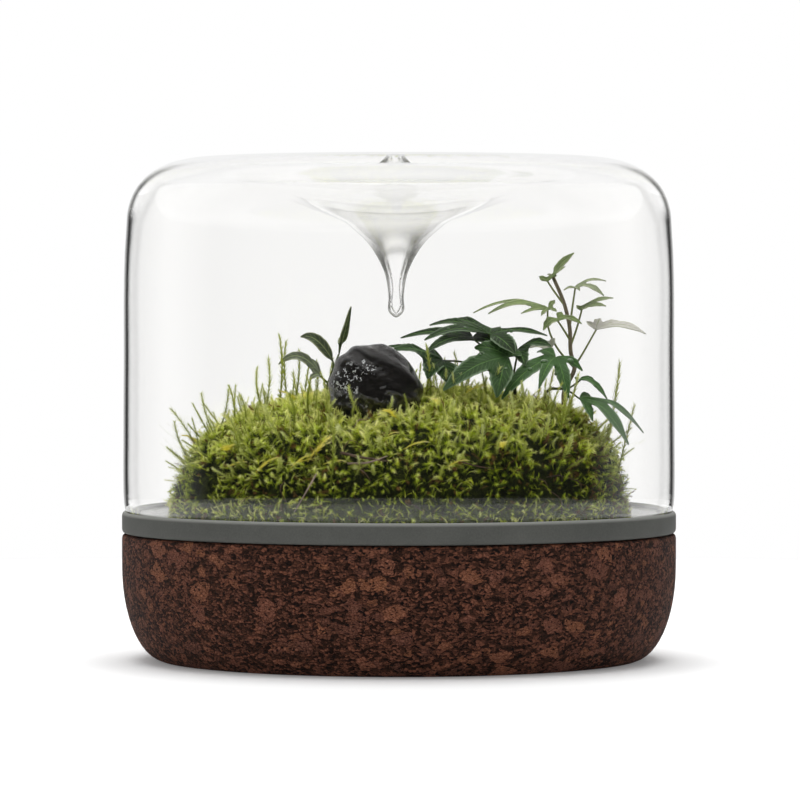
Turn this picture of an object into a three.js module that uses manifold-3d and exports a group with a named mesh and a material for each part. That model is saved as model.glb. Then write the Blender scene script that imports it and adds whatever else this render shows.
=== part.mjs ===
// A closed glass terrarium: a cork base, a silicone tray with soil, a mossy mound with a pebble and
// ivy, and a blown glass cloche whose top dips into a hollow drip neck.
// Millimetres, +Z up, the front towards -Y. The origin is the middle of the cork's flat underside.
import * as THREE from "three";
import { mergeVertices } from "three/addons/utils/BufferGeometryUtils.js";
import Module from "manifold-3d";

const wasm = await Module();
wasm.setup();

// Driving dimensions
const diameter = 250;
const height = 226;
const gap = 0.3;
const roundSides = 48;
const hiddenSides = 24;

const corkHeight = 55;
const corkFootRadius = 106;
const corkFloor = 14;
const wellRadius = 106.3;

const rimHeight = 10.7;
const rimTop = corkHeight + gap + rimHeight;
const ledgeInnerRadius = 103;
const grooveInnerRadius = 118.6;
const grooveOuterRadius = 122.7;
const grooveFloor = rimTop - 1.8;
const bowlFloor = corkFloor + gap + 2.7;

const glassFootRadius = 122.2;
const glassWidestRadius = 124.6;
const glassWall = 3;
const neckRadius = 3.4;
const neckBore = 1.7;
const neckTip = 153.7;
const neckLean = -1.3;

const moundRadius = ledgeInnerRadius - 2 * gap;
const moundFoot = rimTop - 2.2;
const mossBumps = 3.4;
const mossTilt = 0.028;
const shootCount = 140;
const shootRadius = 0.62;

const bladeThickness = 0.6;
const palmRadius = 1.3;
const stemRootDepth = 72;

const outerRadius = diameter / 2;

// Solids from three.js geometry, joined and cut with manifold-3d
function solid(geometry) {
  const bare = geometry.index ? geometry.toNonIndexed() : geometry.clone();
  bare.deleteAttribute("normal");
  bare.deleteAttribute("uv");
  const merged = mergeVertices(bare, 1e-4);
  return new wasm.Manifold(
    new wasm.Mesh({
      numProp: 3,
      vertProperties: new Float32Array(merged.attributes.position.array),
      triVerts: new Uint32Array(merged.index.array),
    }),
  );
}

function geometryOf(manifold) {
  const mesh = manifold.getMesh();
  const places = new Float32Array(mesh.numVert * 3);
  for (let i = 0; i < mesh.numVert; i++) {
    places.set(mesh.vertProperties.subarray(i * mesh.numProp, i * mesh.numProp + 3), i * 3);
  }
  const geometry = new THREE.BufferGeometry();
  geometry.setAttribute("position", new THREE.BufferAttribute(places, 3));
  geometry.setIndex(new THREE.BufferAttribute(new Uint32Array(mesh.triVerts), 1));
  geometry.computeVertexNormals();
  return geometry;
}

function joined(solids) {
  return solids.reduce((whole, next) => whole.add(next));
}

// Turns a [radius, z] profile round the Z axis. A profile runs from the axis below to the axis above.
function turned(profile, sides = roundSides) {
  const points = profile.map(([radius, z]) => new THREE.Vector2(radius, z));
  const geometry = new THREE.LatheGeometry(points, sides);
  geometry.rotateX(Math.PI / 2);
  return geometry;
}

// Moves every vertex of a geometry by a rule
function reshaped(geometry, rule) {
  const places = geometry.attributes.position;
  const point = new THREE.Vector3();
  for (let i = 0; i < places.count; i++) {
    rule(point.fromBufferAttribute(places, i));
    places.setXYZ(i, point.x, point.y, point.z);
  }
  return geometry;
}

// A smooth bumpy field, the same at every run, between about -1 and 1
function bumps(x, y, z, size) {
  const a = Math.sin((x + 0.6 * y) / size + 1.3) * Math.cos((y - 0.4 * z) / size + 0.7);
  const b = Math.sin((1.7 * y + z) / size + 2.1) * Math.cos((1.9 * x - 0.8 * z) / size + 4.2);
  return 0.6 * a + 0.4 * b;
}

// Seeded random numbers between 0 and 1
function randomNumbers(seed) {
  let state = seed;
  return () => {
    state = (state * 1664525 + 1013904223) % 4294967296;
    return state / 4294967296;
  };
}

const finishes = {
  cork: { color: 0x3a2a26, roughness: 0.85 },
  silicone: { color: 0x474b4e, roughness: 0.5 },
  soil: { color: 0x2b1f17, roughness: 0.95 },
  moss: { color: 0x6d7f22, roughness: 0.9 },
  pebble: { color: 0x121314, roughness: 0.2 },
  ivyDark: { color: 0x28502c, roughness: 0.4 },
  ivyYoung: { color: 0x6b8a45, roughness: 0.45 },
  glass: { color: 0xeef2f2, roughness: 0.02, transparent: true, opacity: 0.25 },
};

const terrarium = new THREE.Group();

function place(name, geometry, finish) {
  const material = new THREE.MeshStandardMaterial({ metalness: 0, ...finishes[finish] });
  const mesh = new THREE.Mesh(geometry, material);
  mesh.name = name;
  terrarium.add(mesh);
}

// Cork base: a thick-walled bowl, its outside rounded over into the foot
function corkBase() {
  const overRise = 42;
  const steps = 6;
  const outside = [];
  for (let i = 0; i <= steps; i++) {
    const turn = (i / steps) * (Math.PI / 2);
    const radius = corkFootRadius + (outerRadius - corkFootRadius) * Math.sin(turn);
    outside.push([radius, overRise * (1 - Math.cos(turn))]);
  }
  return turned([
    [0, 0],
    ...outside,
    [outerRadius, corkHeight - 1.6],
    [outerRadius - 0.6, corkHeight - 0.5],
    [outerRadius - 1.8, corkHeight],
    [wellRadius, corkHeight],
    [wellRadius, corkFloor + 2],
    [wellRadius - 2, corkFloor],
    [0, corkFloor],
  ]);
}

// Silicone tray: the rim ring with the groove for the glass, the ledge, and the bowl for the soil
function siliconeTray() {
  const rimUnder = corkHeight + gap;
  const bowlRadius = wellRadius - gap;
  const bowlUnder = corkFloor + gap;
  return turned([
    [0, bowlUnder],
    [bowlRadius - 2, bowlUnder],
    [bowlRadius, bowlUnder + 2],
    [bowlRadius, rimUnder],
    [outerRadius - 2, rimUnder],
    [outerRadius - 0.6, rimUnder + 0.7],
    [outerRadius, rimUnder + 2.2],
    [outerRadius, rimTop - 1.9],
    [outerRadius - 0.6, rimTop - 0.6],
    [outerRadius - 1.5, rimTop],
    [grooveOuterRadius, rimTop],
    [grooveOuterRadius, grooveFloor],
    [grooveInnerRadius, grooveFloor],
    [grooveInnerRadius, rimTop],
    [ledgeInnerRadius + 0.6, rimTop],
    [ledgeInnerRadius, rimTop - 0.6],
    [ledgeInnerRadius, bowlFloor + 2],
    [ledgeInnerRadius - 2, bowlFloor],
    [0, bowlFloor],
  ]);
}

// Soil: fills the bowl and rises as a low mound under the moss
const moundOfSoil = [
  [93, moundFoot - gap],
  [90.5, 76],
  [85, 86],
  [75, 94],
  [60, 100],
  [40, 103.5],
  [0, 105],
];

function soilMound() {
  const soilRadius = ledgeInnerRadius - gap;
  return turned([
    [0, bowlFloor + gap],
    [soilRadius - 2.2, bowlFloor + gap],
    [soilRadius, bowlFloor + gap + 2.2],
    [soilRadius, moundFoot - gap],
    ...moundOfSoil,
  ], hiddenSides);
}

// The space under the moss: the soil's mound, a gap larger all over, run down past the moss's foot
function underMoss() {
  const lifted = moundOfSoil.map(([radius, z]) => [radius === 0 ? 0 : radius + gap, z + gap]);
  const [footRadius, footZ] = lifted[0];
  return turned([[0, footZ - 5], [footRadius, footZ - 5], ...lifted], hiddenSides);
}

// Moss: a steep-sided cushion, a little higher at the right, with a bumpy skin
const mossOutline = [
  [moundRadius, moundFoot],
  [moundRadius + 0.4, 70],
  [102, 76.5],
  [100, 83.5],
  [97, 90.5],
  [92, 97.5],
  [85.5, 103],
  [76, 108],
  [64, 112.6],
  [50, 116],
  [35, 118.4],
  [18, 119.4],
  [0, 119.6],
];

// Lifts a point of the plain cushion to the bumpy one. The foot stays as it is.
function mossSwell(point) {
  const above = THREE.MathUtils.smoothstep(point.z, moundFoot + 1, moundFoot + 14);
  const outward = new THREE.Vector3(point.x, point.y, point.z - moundFoot).normalize();
  const swell = mossBumps * above * bumps(point.x, point.y, point.z, 6.2);
  point.z += mossTilt * point.x * above;
  point.addScaledVector(outward, swell);
}

function mossCushion() {
  const sides = 58;
  return reshaped(turned([[0, moundFoot], ...mossOutline], sides), mossSwell);
}

// Pebble: wider than deep, upright at the left, sloping off to the right, with soft ridges
const pebbleCentre = new THREE.Vector3(-10.5, -50, 121);

function pebble(grow = 0) {
  const ball = new THREE.SphereGeometry(1, 24, 14);
  ball.rotateX(Math.PI / 2);
  return reshaped(ball, (point) => {
    const ridges = 0.02 * Math.sin(7 * point.x + 12 * point.z + 3 * point.y);
    const lump = 1 + 0.05 * bumps(point.x * 10, point.y * 10, point.z * 10, 7) + ridges;
    const slope = point.z > 0 ? 1 - 0.25 * point.x * Math.abs(point.x) : 1;
    point.multiplyScalar(lump);
    point.x = point.x * (20.6 + grow);
    point.y = point.y * (14 + grow);
    point.z = point.z * slope * ((point.z > 0 ? 20.8 : 16.6) + grow);
    point.add(pebbleCentre);
  });
}

// A round stalk along a route
function stalk(route, radius) {
  const sides = 5;
  const steps = 2 * (route.points.length - 1);
  const ring = new THREE.Shape();
  for (let i = 0; i < sides; i++) {
    const turn = (i / sides) * 2 * Math.PI;
    const corner = [radius * Math.cos(turn), radius * Math.sin(turn)];
    if (i === 0) ring.moveTo(...corner);
    else ring.lineTo(...corner);
  }
  return solid(new THREE.ExtrudeGeometry(ring, { steps, bevelEnabled: false, extrudePath: route }));
}

// The rib of a lobe, from the middle of the leaf to the lobe's tip, arched upwards
function ribOf(centre, [dx, dy, dz, width, arch]) {
  const tip = new THREE.Vector3(dx, dy, dz).add(centre);
  const crown = centre.clone().add(tip).multiplyScalar(0.5);
  crown.z += 2 * arch;
  const curve = new THREE.QuadraticBezierCurve3(centre, crown, tip);
  return { curve, width, length: tip.distanceTo(centre) };
}

// A point on the edge of a lobe, on its left (-1) or right (+1), folded up a little from the rib
function edgePoint(rib, facing, along, hand, widest = Infinity) {
  const fold = 0.14;
  const swell = Math.sin(Math.PI * (0.2 + 0.72 * along));
  const half = Math.min((rib.width / 2) * swell, widest) * hand;
  const forward = rib.curve.getTangent(along);
  const side = new THREE.Vector3().crossVectors(facing, forward).normalize();
  const up = new THREE.Vector3().crossVectors(forward, side);
  return rib.curve.getPoint(along).addScaledVector(side, half).addScaledVector(up, fold * Math.abs(half));
}

// How far out from the middle two neighbouring lobes part
function partingOf(one, other) {
  const angle = one.curve.getTangent(0.3).angleTo(other.curve.getTangent(0.3));
  const shorter = Math.min(one.length, other.length);
  const meeting = (one.width + other.width) / (4 * Math.sin(Math.min(angle, Math.PI / 2) / 2));
  return Math.max(palmRadius, Math.min(meeting, 0.55 * shorter));
}

// The lobes in turn round the middle, beginning after the widest space between two of them
function inTurn(lobes, face) {
  const across = new THREE.Vector3(1, 0, 0).projectOnPlane(face).normalize();
  const beside = new THREE.Vector3().crossVectors(face, across);
  const turnOf = ([dx, dy, dz]) => {
    const reach = new THREE.Vector3(dx, dy, dz);
    return Math.atan2(reach.dot(beside), reach.dot(across));
  };
  const sorted = [...lobes].sort((a, b) => turnOf(a) - turnOf(b));
  const spaces = sorted.map((one, i) => {
    const before = i === 0 ? turnOf(sorted.at(-1)) - 2 * Math.PI : turnOf(sorted[i - 1]);
    return turnOf(one) - before;
  });
  const first = spaces.indexOf(Math.max(...spaces));
  return [...sorted.slice(first), ...sorted.slice(0, first)];
}

// One leaf blade: a closed thin sheet. A lobe is [x, y, z of its tip from the leaf's middle, width,
// height of its arch].
function blade(centre, face, lobes) {
  const ribs = inTurn(lobes, face).map((numbers) => ribOf(centre, numbers));

  const places = [centre];
  const faces = [];
  const add = (point) => places.push(point) - 1;
  const partings = ribs.slice(1).map((rib, i) => partingOf(ribs[i], rib));
  const notch = 0.6 * palmRadius;
  const firstCorner = edgePoint(ribs[0], face, palmRadius / ribs[0].length, -1, notch);
  const lastCorner = edgePoint(ribs.at(-1), face, palmRadius / ribs.at(-1).length, 1, notch);
  const corners = [add(firstCorner)];
  partings.forEach((parting, i) => {
    const near = edgePoint(ribs[i], face, parting / ribs[i].length, 1);
    const next = edgePoint(ribs[i + 1], face, parting / ribs[i + 1].length, -1);
    corners.push(add(near.add(next).multiplyScalar(0.5)));
  });
  corners.push(add(lastCorner));

  ribs.forEach((rib, i) => {
    const joinedFor = Math.max(partings[i - 1] ?? 0, partings[i] ?? 0) / rib.length;
    let [left, middle, right] = [corners[i], 0, corners[i + 1]];
    for (const share of rib.width > 3 ? [0.28, 0.66] : [0.45]) {
      const along = joinedFor + (1 - joinedFor) * share;
      const next = [
        add(edgePoint(rib, face, along, -1)),
        add(rib.curve.getPoint(along)),
        add(edgePoint(rib, face, along, 1)),
      ];
      faces.push([left, middle, next[1]], [left, next[1], next[0]]);
      faces.push([middle, right, next[2]], [middle, next[2], next[1]]);
      [left, middle, right] = next;
    }
    const tip = add(rib.curve.getPoint(1));
    faces.push([left, middle, tip], [middle, right, tip]);
  });
  return solid(thickened(places, faces, bladeThickness));
}

// Gives a sheet of triangles a thickness, alike on both faces, and closes it round its rim
function thickened(places, faces, thickness) {
  const sheet = new THREE.BufferGeometry().setFromPoints(places);
  sheet.setIndex(faces.flat());
  sheet.computeVertexNormals();
  const normals = places.map((_, i) => new THREE.Vector3().fromBufferAttribute(sheet.attributes.normal, i));
  const points = [thickness / 2, -thickness / 2].flatMap((step) =>
    places.map((place, i) => place.clone().addScaledVector(normals[i], step)),
  );
  const under = places.length;
  const edges = new Set(faces.flatMap(([a, b, c]) => [`${a},${b}`, `${b},${c}`, `${c},${a}`]));
  const closed = faces.flatMap(([a, b, c]) => [a, b, c, c + under, b + under, a + under]);
  for (const edge of edges) {
    const [a, b] = edge.split(",").map(Number);
    if (!edges.has(`${b},${a}`)) closed.push(b, a, a + under, b, a + under, b + under);
  }
  const shell = new THREE.BufferGeometry().setFromPoints(points);
  shell.setIndex(closed);
  return shell;
}

// A leafy shoot: a stem rooted in the soil, and leaves. A leaf's own stalk leaves the stem at a share
// of its way up (from), passes the points in via, and runs on a little under the blade.
function leafyShoot({ stem, stemRadius, leaves }) {
  const stalkRadius = 0.5;
  const runOn = 0.6;
  const [x, y] = stem[0];
  const places = [[x, y, stemRootDepth], ...stem].map((point) => new THREE.Vector3(...point));
  const stemRoute = new THREE.CatmullRomCurve3(places);
  const pieces = [stalk(stemRoute, stemRadius)];
  for (const { from, via, at, facing, lobes } of leaves) {
    const centre = new THREE.Vector3(...at);
    const face = new THREE.Vector3(...facing).normalize();
    const way = [stemRoute.getPoint(from), ...via.map((point) => new THREE.Vector3(...point))];
    const ahead = centre.clone().sub(way.at(-1)).projectOnPlane(face).normalize();
    const end = centre.clone().addScaledVector(ahead, runOn);
    end.addScaledVector(face, -0.3 * stalkRadius);
    pieces.push(stalk(new THREE.CatmullRomCurve3([...way, end]), stalkRadius));
    pieces.push(blade(centre, face, lobes));
  }
  return joined(pieces);
}

const tallStem = {
  stem: [
    [74.5, 0, 112], [74.7, 0, 121], [79.3, 0, 131], [77.6, 0, 138],
    [77.1, 0, 149], [74.5, 0, 160.5], [69.5, 0, 173],
  ],
  stemRadius: 0.9,
  leaves: [
    {
      at: [67, -2, 170.5], facing: [-0.5, -0.7, 0.45], from: 0.84, via: [[70, -1, 166]],
      lobes: [[12, -4, 14, 4, 1.4], [8.4, 7, 7.5, 2, 1], [-3.8, 1, 2.6, 2.6, 0.2]],
    },
    {
      at: [79.5, 2, 168], facing: [-0.1, -0.35, 0.95], from: 0.72, via: [[78.3, 1, 158]],
      lobes: [
        [-5, 1, -1.5, 2.2, 0.6], [14.5, 5, 2.8, 2.6, 2],
        [13, -6, -4.3, 3.8, 2.6], [2, -6, -1.6, 2, 0.5],
      ],
    },
    {
      at: [82, -2, 157], facing: [-0.35, -0.5, 0.8], from: 0.61, via: [[80.3, -1, 149]],
      lobes: [
        [15, 3, 5.8, 3.2, 1.8], [11.3, -4, 2, 2.8, 1.6],
        [2.5, -5, 1.2, 2, 0.4], [-2, 0, 2.3, 2.2, 0.2],
      ],
    },
    {
      at: [88.5, -5, 148.2], facing: [0.15, -0.55, 0.8], from: 0.44, via: [[82.5, -3, 137]],
      lobes: [
        [22.5, -6, -1.8, 4.6, 3.2], [2.6, 9, 5, 3.6, 0.6],
        [-4, 1, 3.8, 3.4, 0.4], [13, 7, 3.4, 4, 1],
      ],
    },
    {
      at: [71.3, -6, 153.3], facing: [-0.15, -0.6, 0.8], from: 0.64, via: [[73.7, -4, 149]],
      lobes: [[-6.5, -4, -5.4, 4.6, 1.6], [11, -2, -2.5, 3, 1.6], [2, 4, 3, 3, 0.2]],
    },
    {
      at: [67.3, -2, 158.2], facing: [0.1, -0.5, 0.86], from: 0.42, via: [[71.5, 1, 140], [67.5, 0, 149]],
      lobes: [
        [-34, 6, -2.6, 2.6, 4.4], [-27.4, -6, -2.9, 4, 3.8], [-12.6, -9, -2.6, 2.4, 0.8],
        [-3.5, -8, -3.6, 2, 0.4], [3.2, 3, 3.6, 2.4, 0.2], [3.8, -3, -1.6, 2.2, 0.2],
      ],
    },
    {
      at: [69.5, -0.5, 172.6], facing: [-0.3, -0.8, 0.5], from: 0.96, via: [],
      lobes: [[-2.6, -1, 1.6, 1.4, 0.4], [1.8, -1.6, 1, 1.4, 0.2]],
    },
  ],
};

const middleSpray = {
  stem: [[52, -14, 110], [52, -14, 121], [50.5, -16, 128]],
  stemRadius: 1,
  leaves: [
    {
      at: [40.5, -20, 146.2], facing: [-0.12, -0.4, 0.9], from: 0.86, via: [[46, -17, 136]],
      lobes: [
        [-26.5, 2, 3.2, 5, 3], [-29.4, -17, -2.4, 6, 3.4], [-18, 14, 5, 6, 2.4],
        [11, -18, -8.4, 6.4, 1.8], [2, 16, 1, 6, 2], [26, 0, -0.6, 4, 2.2],
      ],
    },
    {
      at: [48.6, -33, 136.4], facing: [-0.1, -0.72, 0.68], from: 0.76, via: [[50, -23, 130]],
      lobes: [
        [-29.5, -20, -14.6, 9, 3.4], [-5.6, -20, -17.6, 9.4, 2.6], [-15, 6, 4, 8, 1.6], [6, 6, 1.5, 5, 0.6],
      ],
    },
    {
      at: [70, -23, 136.2], facing: [0, -0.66, 0.75], from: 0.74, via: [[60, -18, 130]],
      lobes: [
        [-25, -20, -18.6, 7, 4], [-8.5, -25, -13.6, 4.6, 3], [5, -17, -18, 6, 2.6],
        [11.8, -4, -6, 4.4, 2], [-8, 13, 2, 5, 1.6],
      ],
    },
    {
      at: [19.6, -24, 135], facing: [-0.1, -0.5, 0.86], from: 0.78, via: [[41, -18, 130], [29, -21, 134]],
      lobes: [
        [-24.5, 7, 6, 4.4, 1.6], [-23, -8, 4.4, 6, 2.4], [-7, -18, -8, 7, 2],
        [2.5, -20, -11, 6.4, 2.4], [-10, 14, 3, 6, 1.4],
      ],
    },
  ],
};

const lowSpray = {
  stem: [[66, -8, 108], [66, -8, 120], [69.5, -11, 122.5]],
  stemRadius: 0.8,
  leaves: [
    {
      at: [80.6, -24, 118.2], facing: [0.5, -0.45, 0.74], from: 0.96, via: [[74.5, -17, 122]],
      lobes: [
        [20.6, -20, -20.4, 8.4, 5.4], [28, -7, -15.6, 4.6, 5.6],
        [5, -17, -10, 5, 2], [7, 12, -1.6, 4, 1.6],
      ],
    },
    {
      at: [80.8, -17, 126.4], facing: [0.3, -0.5, 0.8], from: 0.9, via: [[76, -14.5, 122.5]],
      lobes: [[12.2, -6, -9, 3.6, 3], [8.4, 4, -2.8, 2.6, 2], [-2, -4, 0.4, 2.4, 0.2]],
    },
  ],
};

const leftSprig = {
  stem: [[-32.6, 2, 112], [-32.6, 2, 122], [-29.5, 1, 131]],
  stemRadius: 0.7,
  leaves: [
    {
      at: [-29.6, 1, 133.5], facing: [0.3, -0.9, 0.35], from: 0.97, via: [],
      lobes: [[-15, -5, 11.4, 5, 4.2]],
    },
    {
      at: [-27.2, 1, 136.5], facing: [0.8, -0.55, 0.1], from: 0.98, via: [],
      lobes: [[5.6, -3, 22.6, 4.6, 0.8], [0, 5, 8, 2.4, 0.4]],
    },
    {
      at: [-35.4, -3, 128], facing: [0.2, -0.75, 0.62], from: 0.76, via: [],
      lobes: [[-19, -4, 4.6, 4.4, 6], [-5, -8, -2, 2.8, 1], [-4, 6, 7, 3, 0.6]],
    },
  ],
};

// A straight vertical hole that a stem stands in
function stemHole({ stem, stemRadius }) {
  const [x, y] = stem[0];
  const deep = stemRootDepth - gap;
  const top = 150;
  const hole = new THREE.CylinderGeometry(stemRadius + 0.4, stemRadius + 0.4, top - deep, 8);
  hole.rotateX(Math.PI / 2);
  hole.translate(x, y, (top + deep) / 2);
  return solid(hole);
}

// One thin moss shoot: a three-sided spike with a bend in it, its root sunk in the cushion
function mossShoot(foot, direction, length, lean) {
  const sunk = 3.6;
  const spike = new THREE.ConeGeometry(shootRadius, length + sunk, 3, 2);
  spike.translate(0, (length + sunk) / 2 - sunk, 0);
  reshaped(spike, (point) => {
    point.x += lean * Math.pow(Math.max(0, point.y) / length, 2);
  });
  spike.applyQuaternion(new THREE.Quaternion().setFromUnitVectors(new THREE.Vector3(0, 1, 0), direction));
  spike.translate(foot.x, foot.y, foot.z);
  return solid(spike);
}

// The glass: one closed wall, from the foot up the outside, over the shoulder and down the neck's bore,
// and back up under the dish and down the inside
function glassCloche() {
  const foot = grooveFloor + gap;
  const shoulder = glassWidestRadius - 1.6;
  const bore = [
    [0, neckTip + 1.9], [neckBore, neckTip + 3.6], [neckBore + 0.2, 168], [3.4, 176], [7, 184.5],
    [12.6, 191.5], [20, 198.6], [29, 205], [41, 210.2], [57, 214.2], [71, 219.2], [80, 223.6], [89, height],
  ];
  const outside = [
    [97.5, height - 0.8], [106.5, height - 3.6], [114, height - 8.4], [119.3, height - 15],
    [122.2, height - 23], [shoulder, height - 32], [glassWidestRadius - 0.4, 130],
    [glassWidestRadius, 84], [glassWidestRadius - 0.4, 74], [glassFootRadius, foot],
  ];
  const inside = [
    [glassFootRadius - glassWall, foot], [glassWidestRadius - 0.2 - glassWall, 78],
    [glassWidestRadius - 0.4 - glassWall, 130], [shoulder - glassWall, height - 34],
    [118.4, height - 22], [114, height - 13.2], [106.5, height - 7.2], [97, height - 4.4],
    [87.5, height - 4.5], [78, 218], [68, 214], [55, 211.2], [42, 208.2],
    [31, 203.8], [22, 198], [14, 190.8], [8.4, 182.4], [5, 174],
    [neckRadius, 163], [neckRadius - 0.2, neckTip + 2.4], [0, neckTip],
  ];
  return reshaped(turned([...bore, ...outside, ...inside].reverse()), (point) => {
    const radius = Math.hypot(point.x, point.y);
    point.x += neckLean * (1 - THREE.MathUtils.smoothstep(radius, 14, 60));
  });
}

const sprays = { tallStem, middleSpray, lowSpray, leftSprig };
const shoots = Object.fromEntries(Object.entries(sprays).map(([name, spray]) => [name, leafyShoot(spray)]));
const holes = joined(Object.values(sprays).map(stemHole));
const glass = solid(glassCloche());

// The moss, its shoots kept clear of the pebble, the ivy and the glass
function mossCarpet() {
  const random = randomNumbers(29);
  const skinLine = new THREE.SplineCurve(mossOutline.map(([radius, z]) => new THREE.Vector2(radius, z)));
  const inTheWay = [solid(pebble(1.2)), glass, ...Object.values(shoots)];
  const goldenTurn = 2.39996;
  const grown = [];
  for (let i = 0; i < shootCount; i++) {
    const turn = i * goldenTurn + 0.6 * random();
    const share = 0.16 + 0.8 * (1 - Math.sqrt((i + 0.5) / shootCount));
    const [radius, z] = skinLine.getPointAt(share);
    const foot = new THREE.Vector3(radius * Math.cos(turn), radius * Math.sin(turn), z);
    const steep = THREE.MathUtils.smoothstep(radius, 60, 98);
    const direction = new THREE.Vector3(foot.x, foot.y, 0).normalize().multiplyScalar(0.8 * steep);
    direction.x += 0.5 * (random() - 0.5);
    direction.y += 0.5 * (random() - 0.5);
    direction.z = 1.1 - 0.5 * steep;
    mossSwell(foot);
    const long = 6 + 14 * random() * random();
    const shoot = mossShoot(foot, direction.normalize(), long, 3 * (random() - 0.5));
    if (inTheWay.every((piece) => shoot.intersect(piece).isEmpty())) grown.push(shoot);
  }
  const dome = joined([solid(mossCushion()), ...grown]);
  return dome.subtract(solid(underMoss())).subtract(solid(pebble(gap))).subtract(holes);
}

place("cork_base", corkBase(), "cork");
place("silicone_tray", siliconeTray(), "silicone");
place("soil", geometryOf(solid(soilMound()).subtract(holes)), "soil");
place("moss_carpet", geometryOf(mossCarpet()), "moss");
place("pebble", pebble(), "pebble");
place("ivy_tall_stem", geometryOf(shoots.tallStem), "ivyYoung");
place("ivy_middle_spray", geometryOf(shoots.middleSpray), "ivyDark");
place("ivy_low_spray", geometryOf(shoots.lowSpray), "ivyDark");
place("ivy_left_sprig", geometryOf(shoots.leftSprig), "ivyYoung");
place("glass_cloche", geometryOf(glass), "glass");

export default terrarium;
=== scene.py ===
import math
import random

import bmesh
import bpy
import numpy as np
from mathutils import Matrix, Vector


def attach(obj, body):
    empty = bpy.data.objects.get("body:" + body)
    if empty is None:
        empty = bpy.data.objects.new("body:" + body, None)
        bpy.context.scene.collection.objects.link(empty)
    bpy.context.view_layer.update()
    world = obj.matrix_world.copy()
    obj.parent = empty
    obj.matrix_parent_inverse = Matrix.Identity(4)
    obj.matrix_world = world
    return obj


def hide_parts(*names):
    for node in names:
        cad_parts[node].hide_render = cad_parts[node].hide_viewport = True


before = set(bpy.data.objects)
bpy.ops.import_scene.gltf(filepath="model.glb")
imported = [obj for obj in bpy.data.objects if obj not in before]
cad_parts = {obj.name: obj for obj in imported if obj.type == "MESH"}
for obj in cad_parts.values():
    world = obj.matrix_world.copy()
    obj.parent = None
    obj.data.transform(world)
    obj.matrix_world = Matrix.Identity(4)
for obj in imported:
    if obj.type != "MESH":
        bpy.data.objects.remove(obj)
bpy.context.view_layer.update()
scene = bpy.context.scene
mm = 0.001
goldenAngle = 2.39996
anyTurn = (0, 6.28)
print("frame loaded:", len(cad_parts), "nodes")


def colorOf(value):
    # from "#rrggbb", a grey, or red, green and blue
    if isinstance(value, str):
        parts = [int(value[i:i + 2], 16) / 255 for i in (1, 3, 5)]
        value = [part / 12.92 if part <= 0.04045 else ((part + 0.055) / 1.055) ** 2.4 for part in parts]
    elif isinstance(value, (int, float)):
        value = [value] * 3
    return (*value[:3], 1.0)


class Graph:
    # a node tree, where each call adds a node and gives back what comes out of it
    def __init__(self, tree):
        self.tree = tree

    def put(self, socket, value):
        if isinstance(value, bpy.types.NodeSocket):
            self.tree.links.new(value, socket)
        else:
            socket.default_value = colorOf(value) if socket.type == "RGBA" else value

    def node(self, kind, inputs=None, **settings):
        node = self.tree.nodes.new(kind if "Node" in kind else "ShaderNode" + kind)
        for name, value in settings.items():
            setattr(node, name, value)
        for socket, value in (inputs or {}).items():
            self.put(node.inputs[socket], value)
        return node.outputs

    def maths(self, operation, first, second=0.0, third=0.0, clamp=False):
        return self.node("Math", {0: first, 1: second, 2: third}, operation=operation, use_clamp=clamp)[0]

    def chain(self, operation, first, *others):
        for other in others:
            first = self.maths(operation, first, other)
        return first

    def vectors(self, operation, first, second=(0.0, 0.0, 0.0)):
        socket = "Scale" if operation == "SCALE" else 1
        outputs = self.node("VectorMath", {0: first, socket: second}, operation=operation)
        return outputs["Value" if operation in ("LENGTH", "DISTANCE") else "Vector"]

    def between(self, factor, first, second):
        return self.node("Mix", {0: factor, 2: first, 3: second})[0]

    def mix(self, factor, first, second, blend="MIX"):
        return self.node("Mix", {0: factor, 6: first, 7: second}, data_type="RGBA", blend_type=blend)[2]

    def spread(self, value, low, high, start=0.0, end=1.0):
        return self.node("MapRange", {
            "Value": value, "From Min": low, "From Max": high, "To Min": start, "To Max": end,
        })["Result"]

    def ramp(self, factor, *stops):
        node = self.tree.nodes.new("ShaderNodeValToRGB")
        self.put(node.inputs["Fac"], factor)
        marks = node.color_ramp.elements
        while len(marks) < len(stops):
            marks.new(0.5)
        for mark, (place, color) in zip(marks, stops):
            mark.position = place
            mark.color = colorOf(color)
        return node.outputs["Color"]

    def noise(self, place, scale, detail=2.0, output="Fac", **inputs):
        return self.node("TexNoise", {"Vector": place, "Scale": scale, "Detail": detail, **inputs})[output]

    def cells(self, place, scale, output="Distance", feature="F1"):
        return self.node("TexVoronoi", {"Vector": place, "Scale": scale}, feature=feature)[output]

    def grain(self, place, coarse, fine, share):
        return self.node("Group", {
            "Vector": place, "Coarse Scale": coarse, "Fine Scale": fine, "Fine Share": share,
        }, node_tree=fineGrain)["Value"]

    def stretched(self, place, scale):
        return self.node("Mapping", {"Vector": place, "Scale": scale})[0]

    def along(self, vector, axis):
        return self.node("SeparateXYZ", {0: vector})[axis]

    def mark(self, name):
        return self.node("Attribute", attribute_name=name)["Fac"]


class Finish(Graph):
    # the node tree of a new material
    def __init__(self, name, plain):
        self.material = bpy.data.materials.new(name)
        self.material.use_nodes = True
        super().__init__(self.material.node_tree)
        for socket, value in plain.items():
            self.feed(socket, value)
        self.place = self.node("TexCoord")["Object"]

    def feed(self, socket, value):
        self.put(self.tree.nodes["Principled BSDF"].inputs[socket], value)

    def bump(self, height, distance, strength=1.0):
        inputs = {"Height": height, "Distance": distance, "Strength": strength}
        self.feed("Normal", self.node("Bump", inputs)[0])


def addSockets(group, direction, kind, **values):
    for name, value in values.items():
        label = name.replace("_", " ")
        socket = group.interface.new_socket(label, in_out=direction, socket_type="NodeSocket" + kind)
        if value is not None:
            socket.default_value = value


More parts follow.
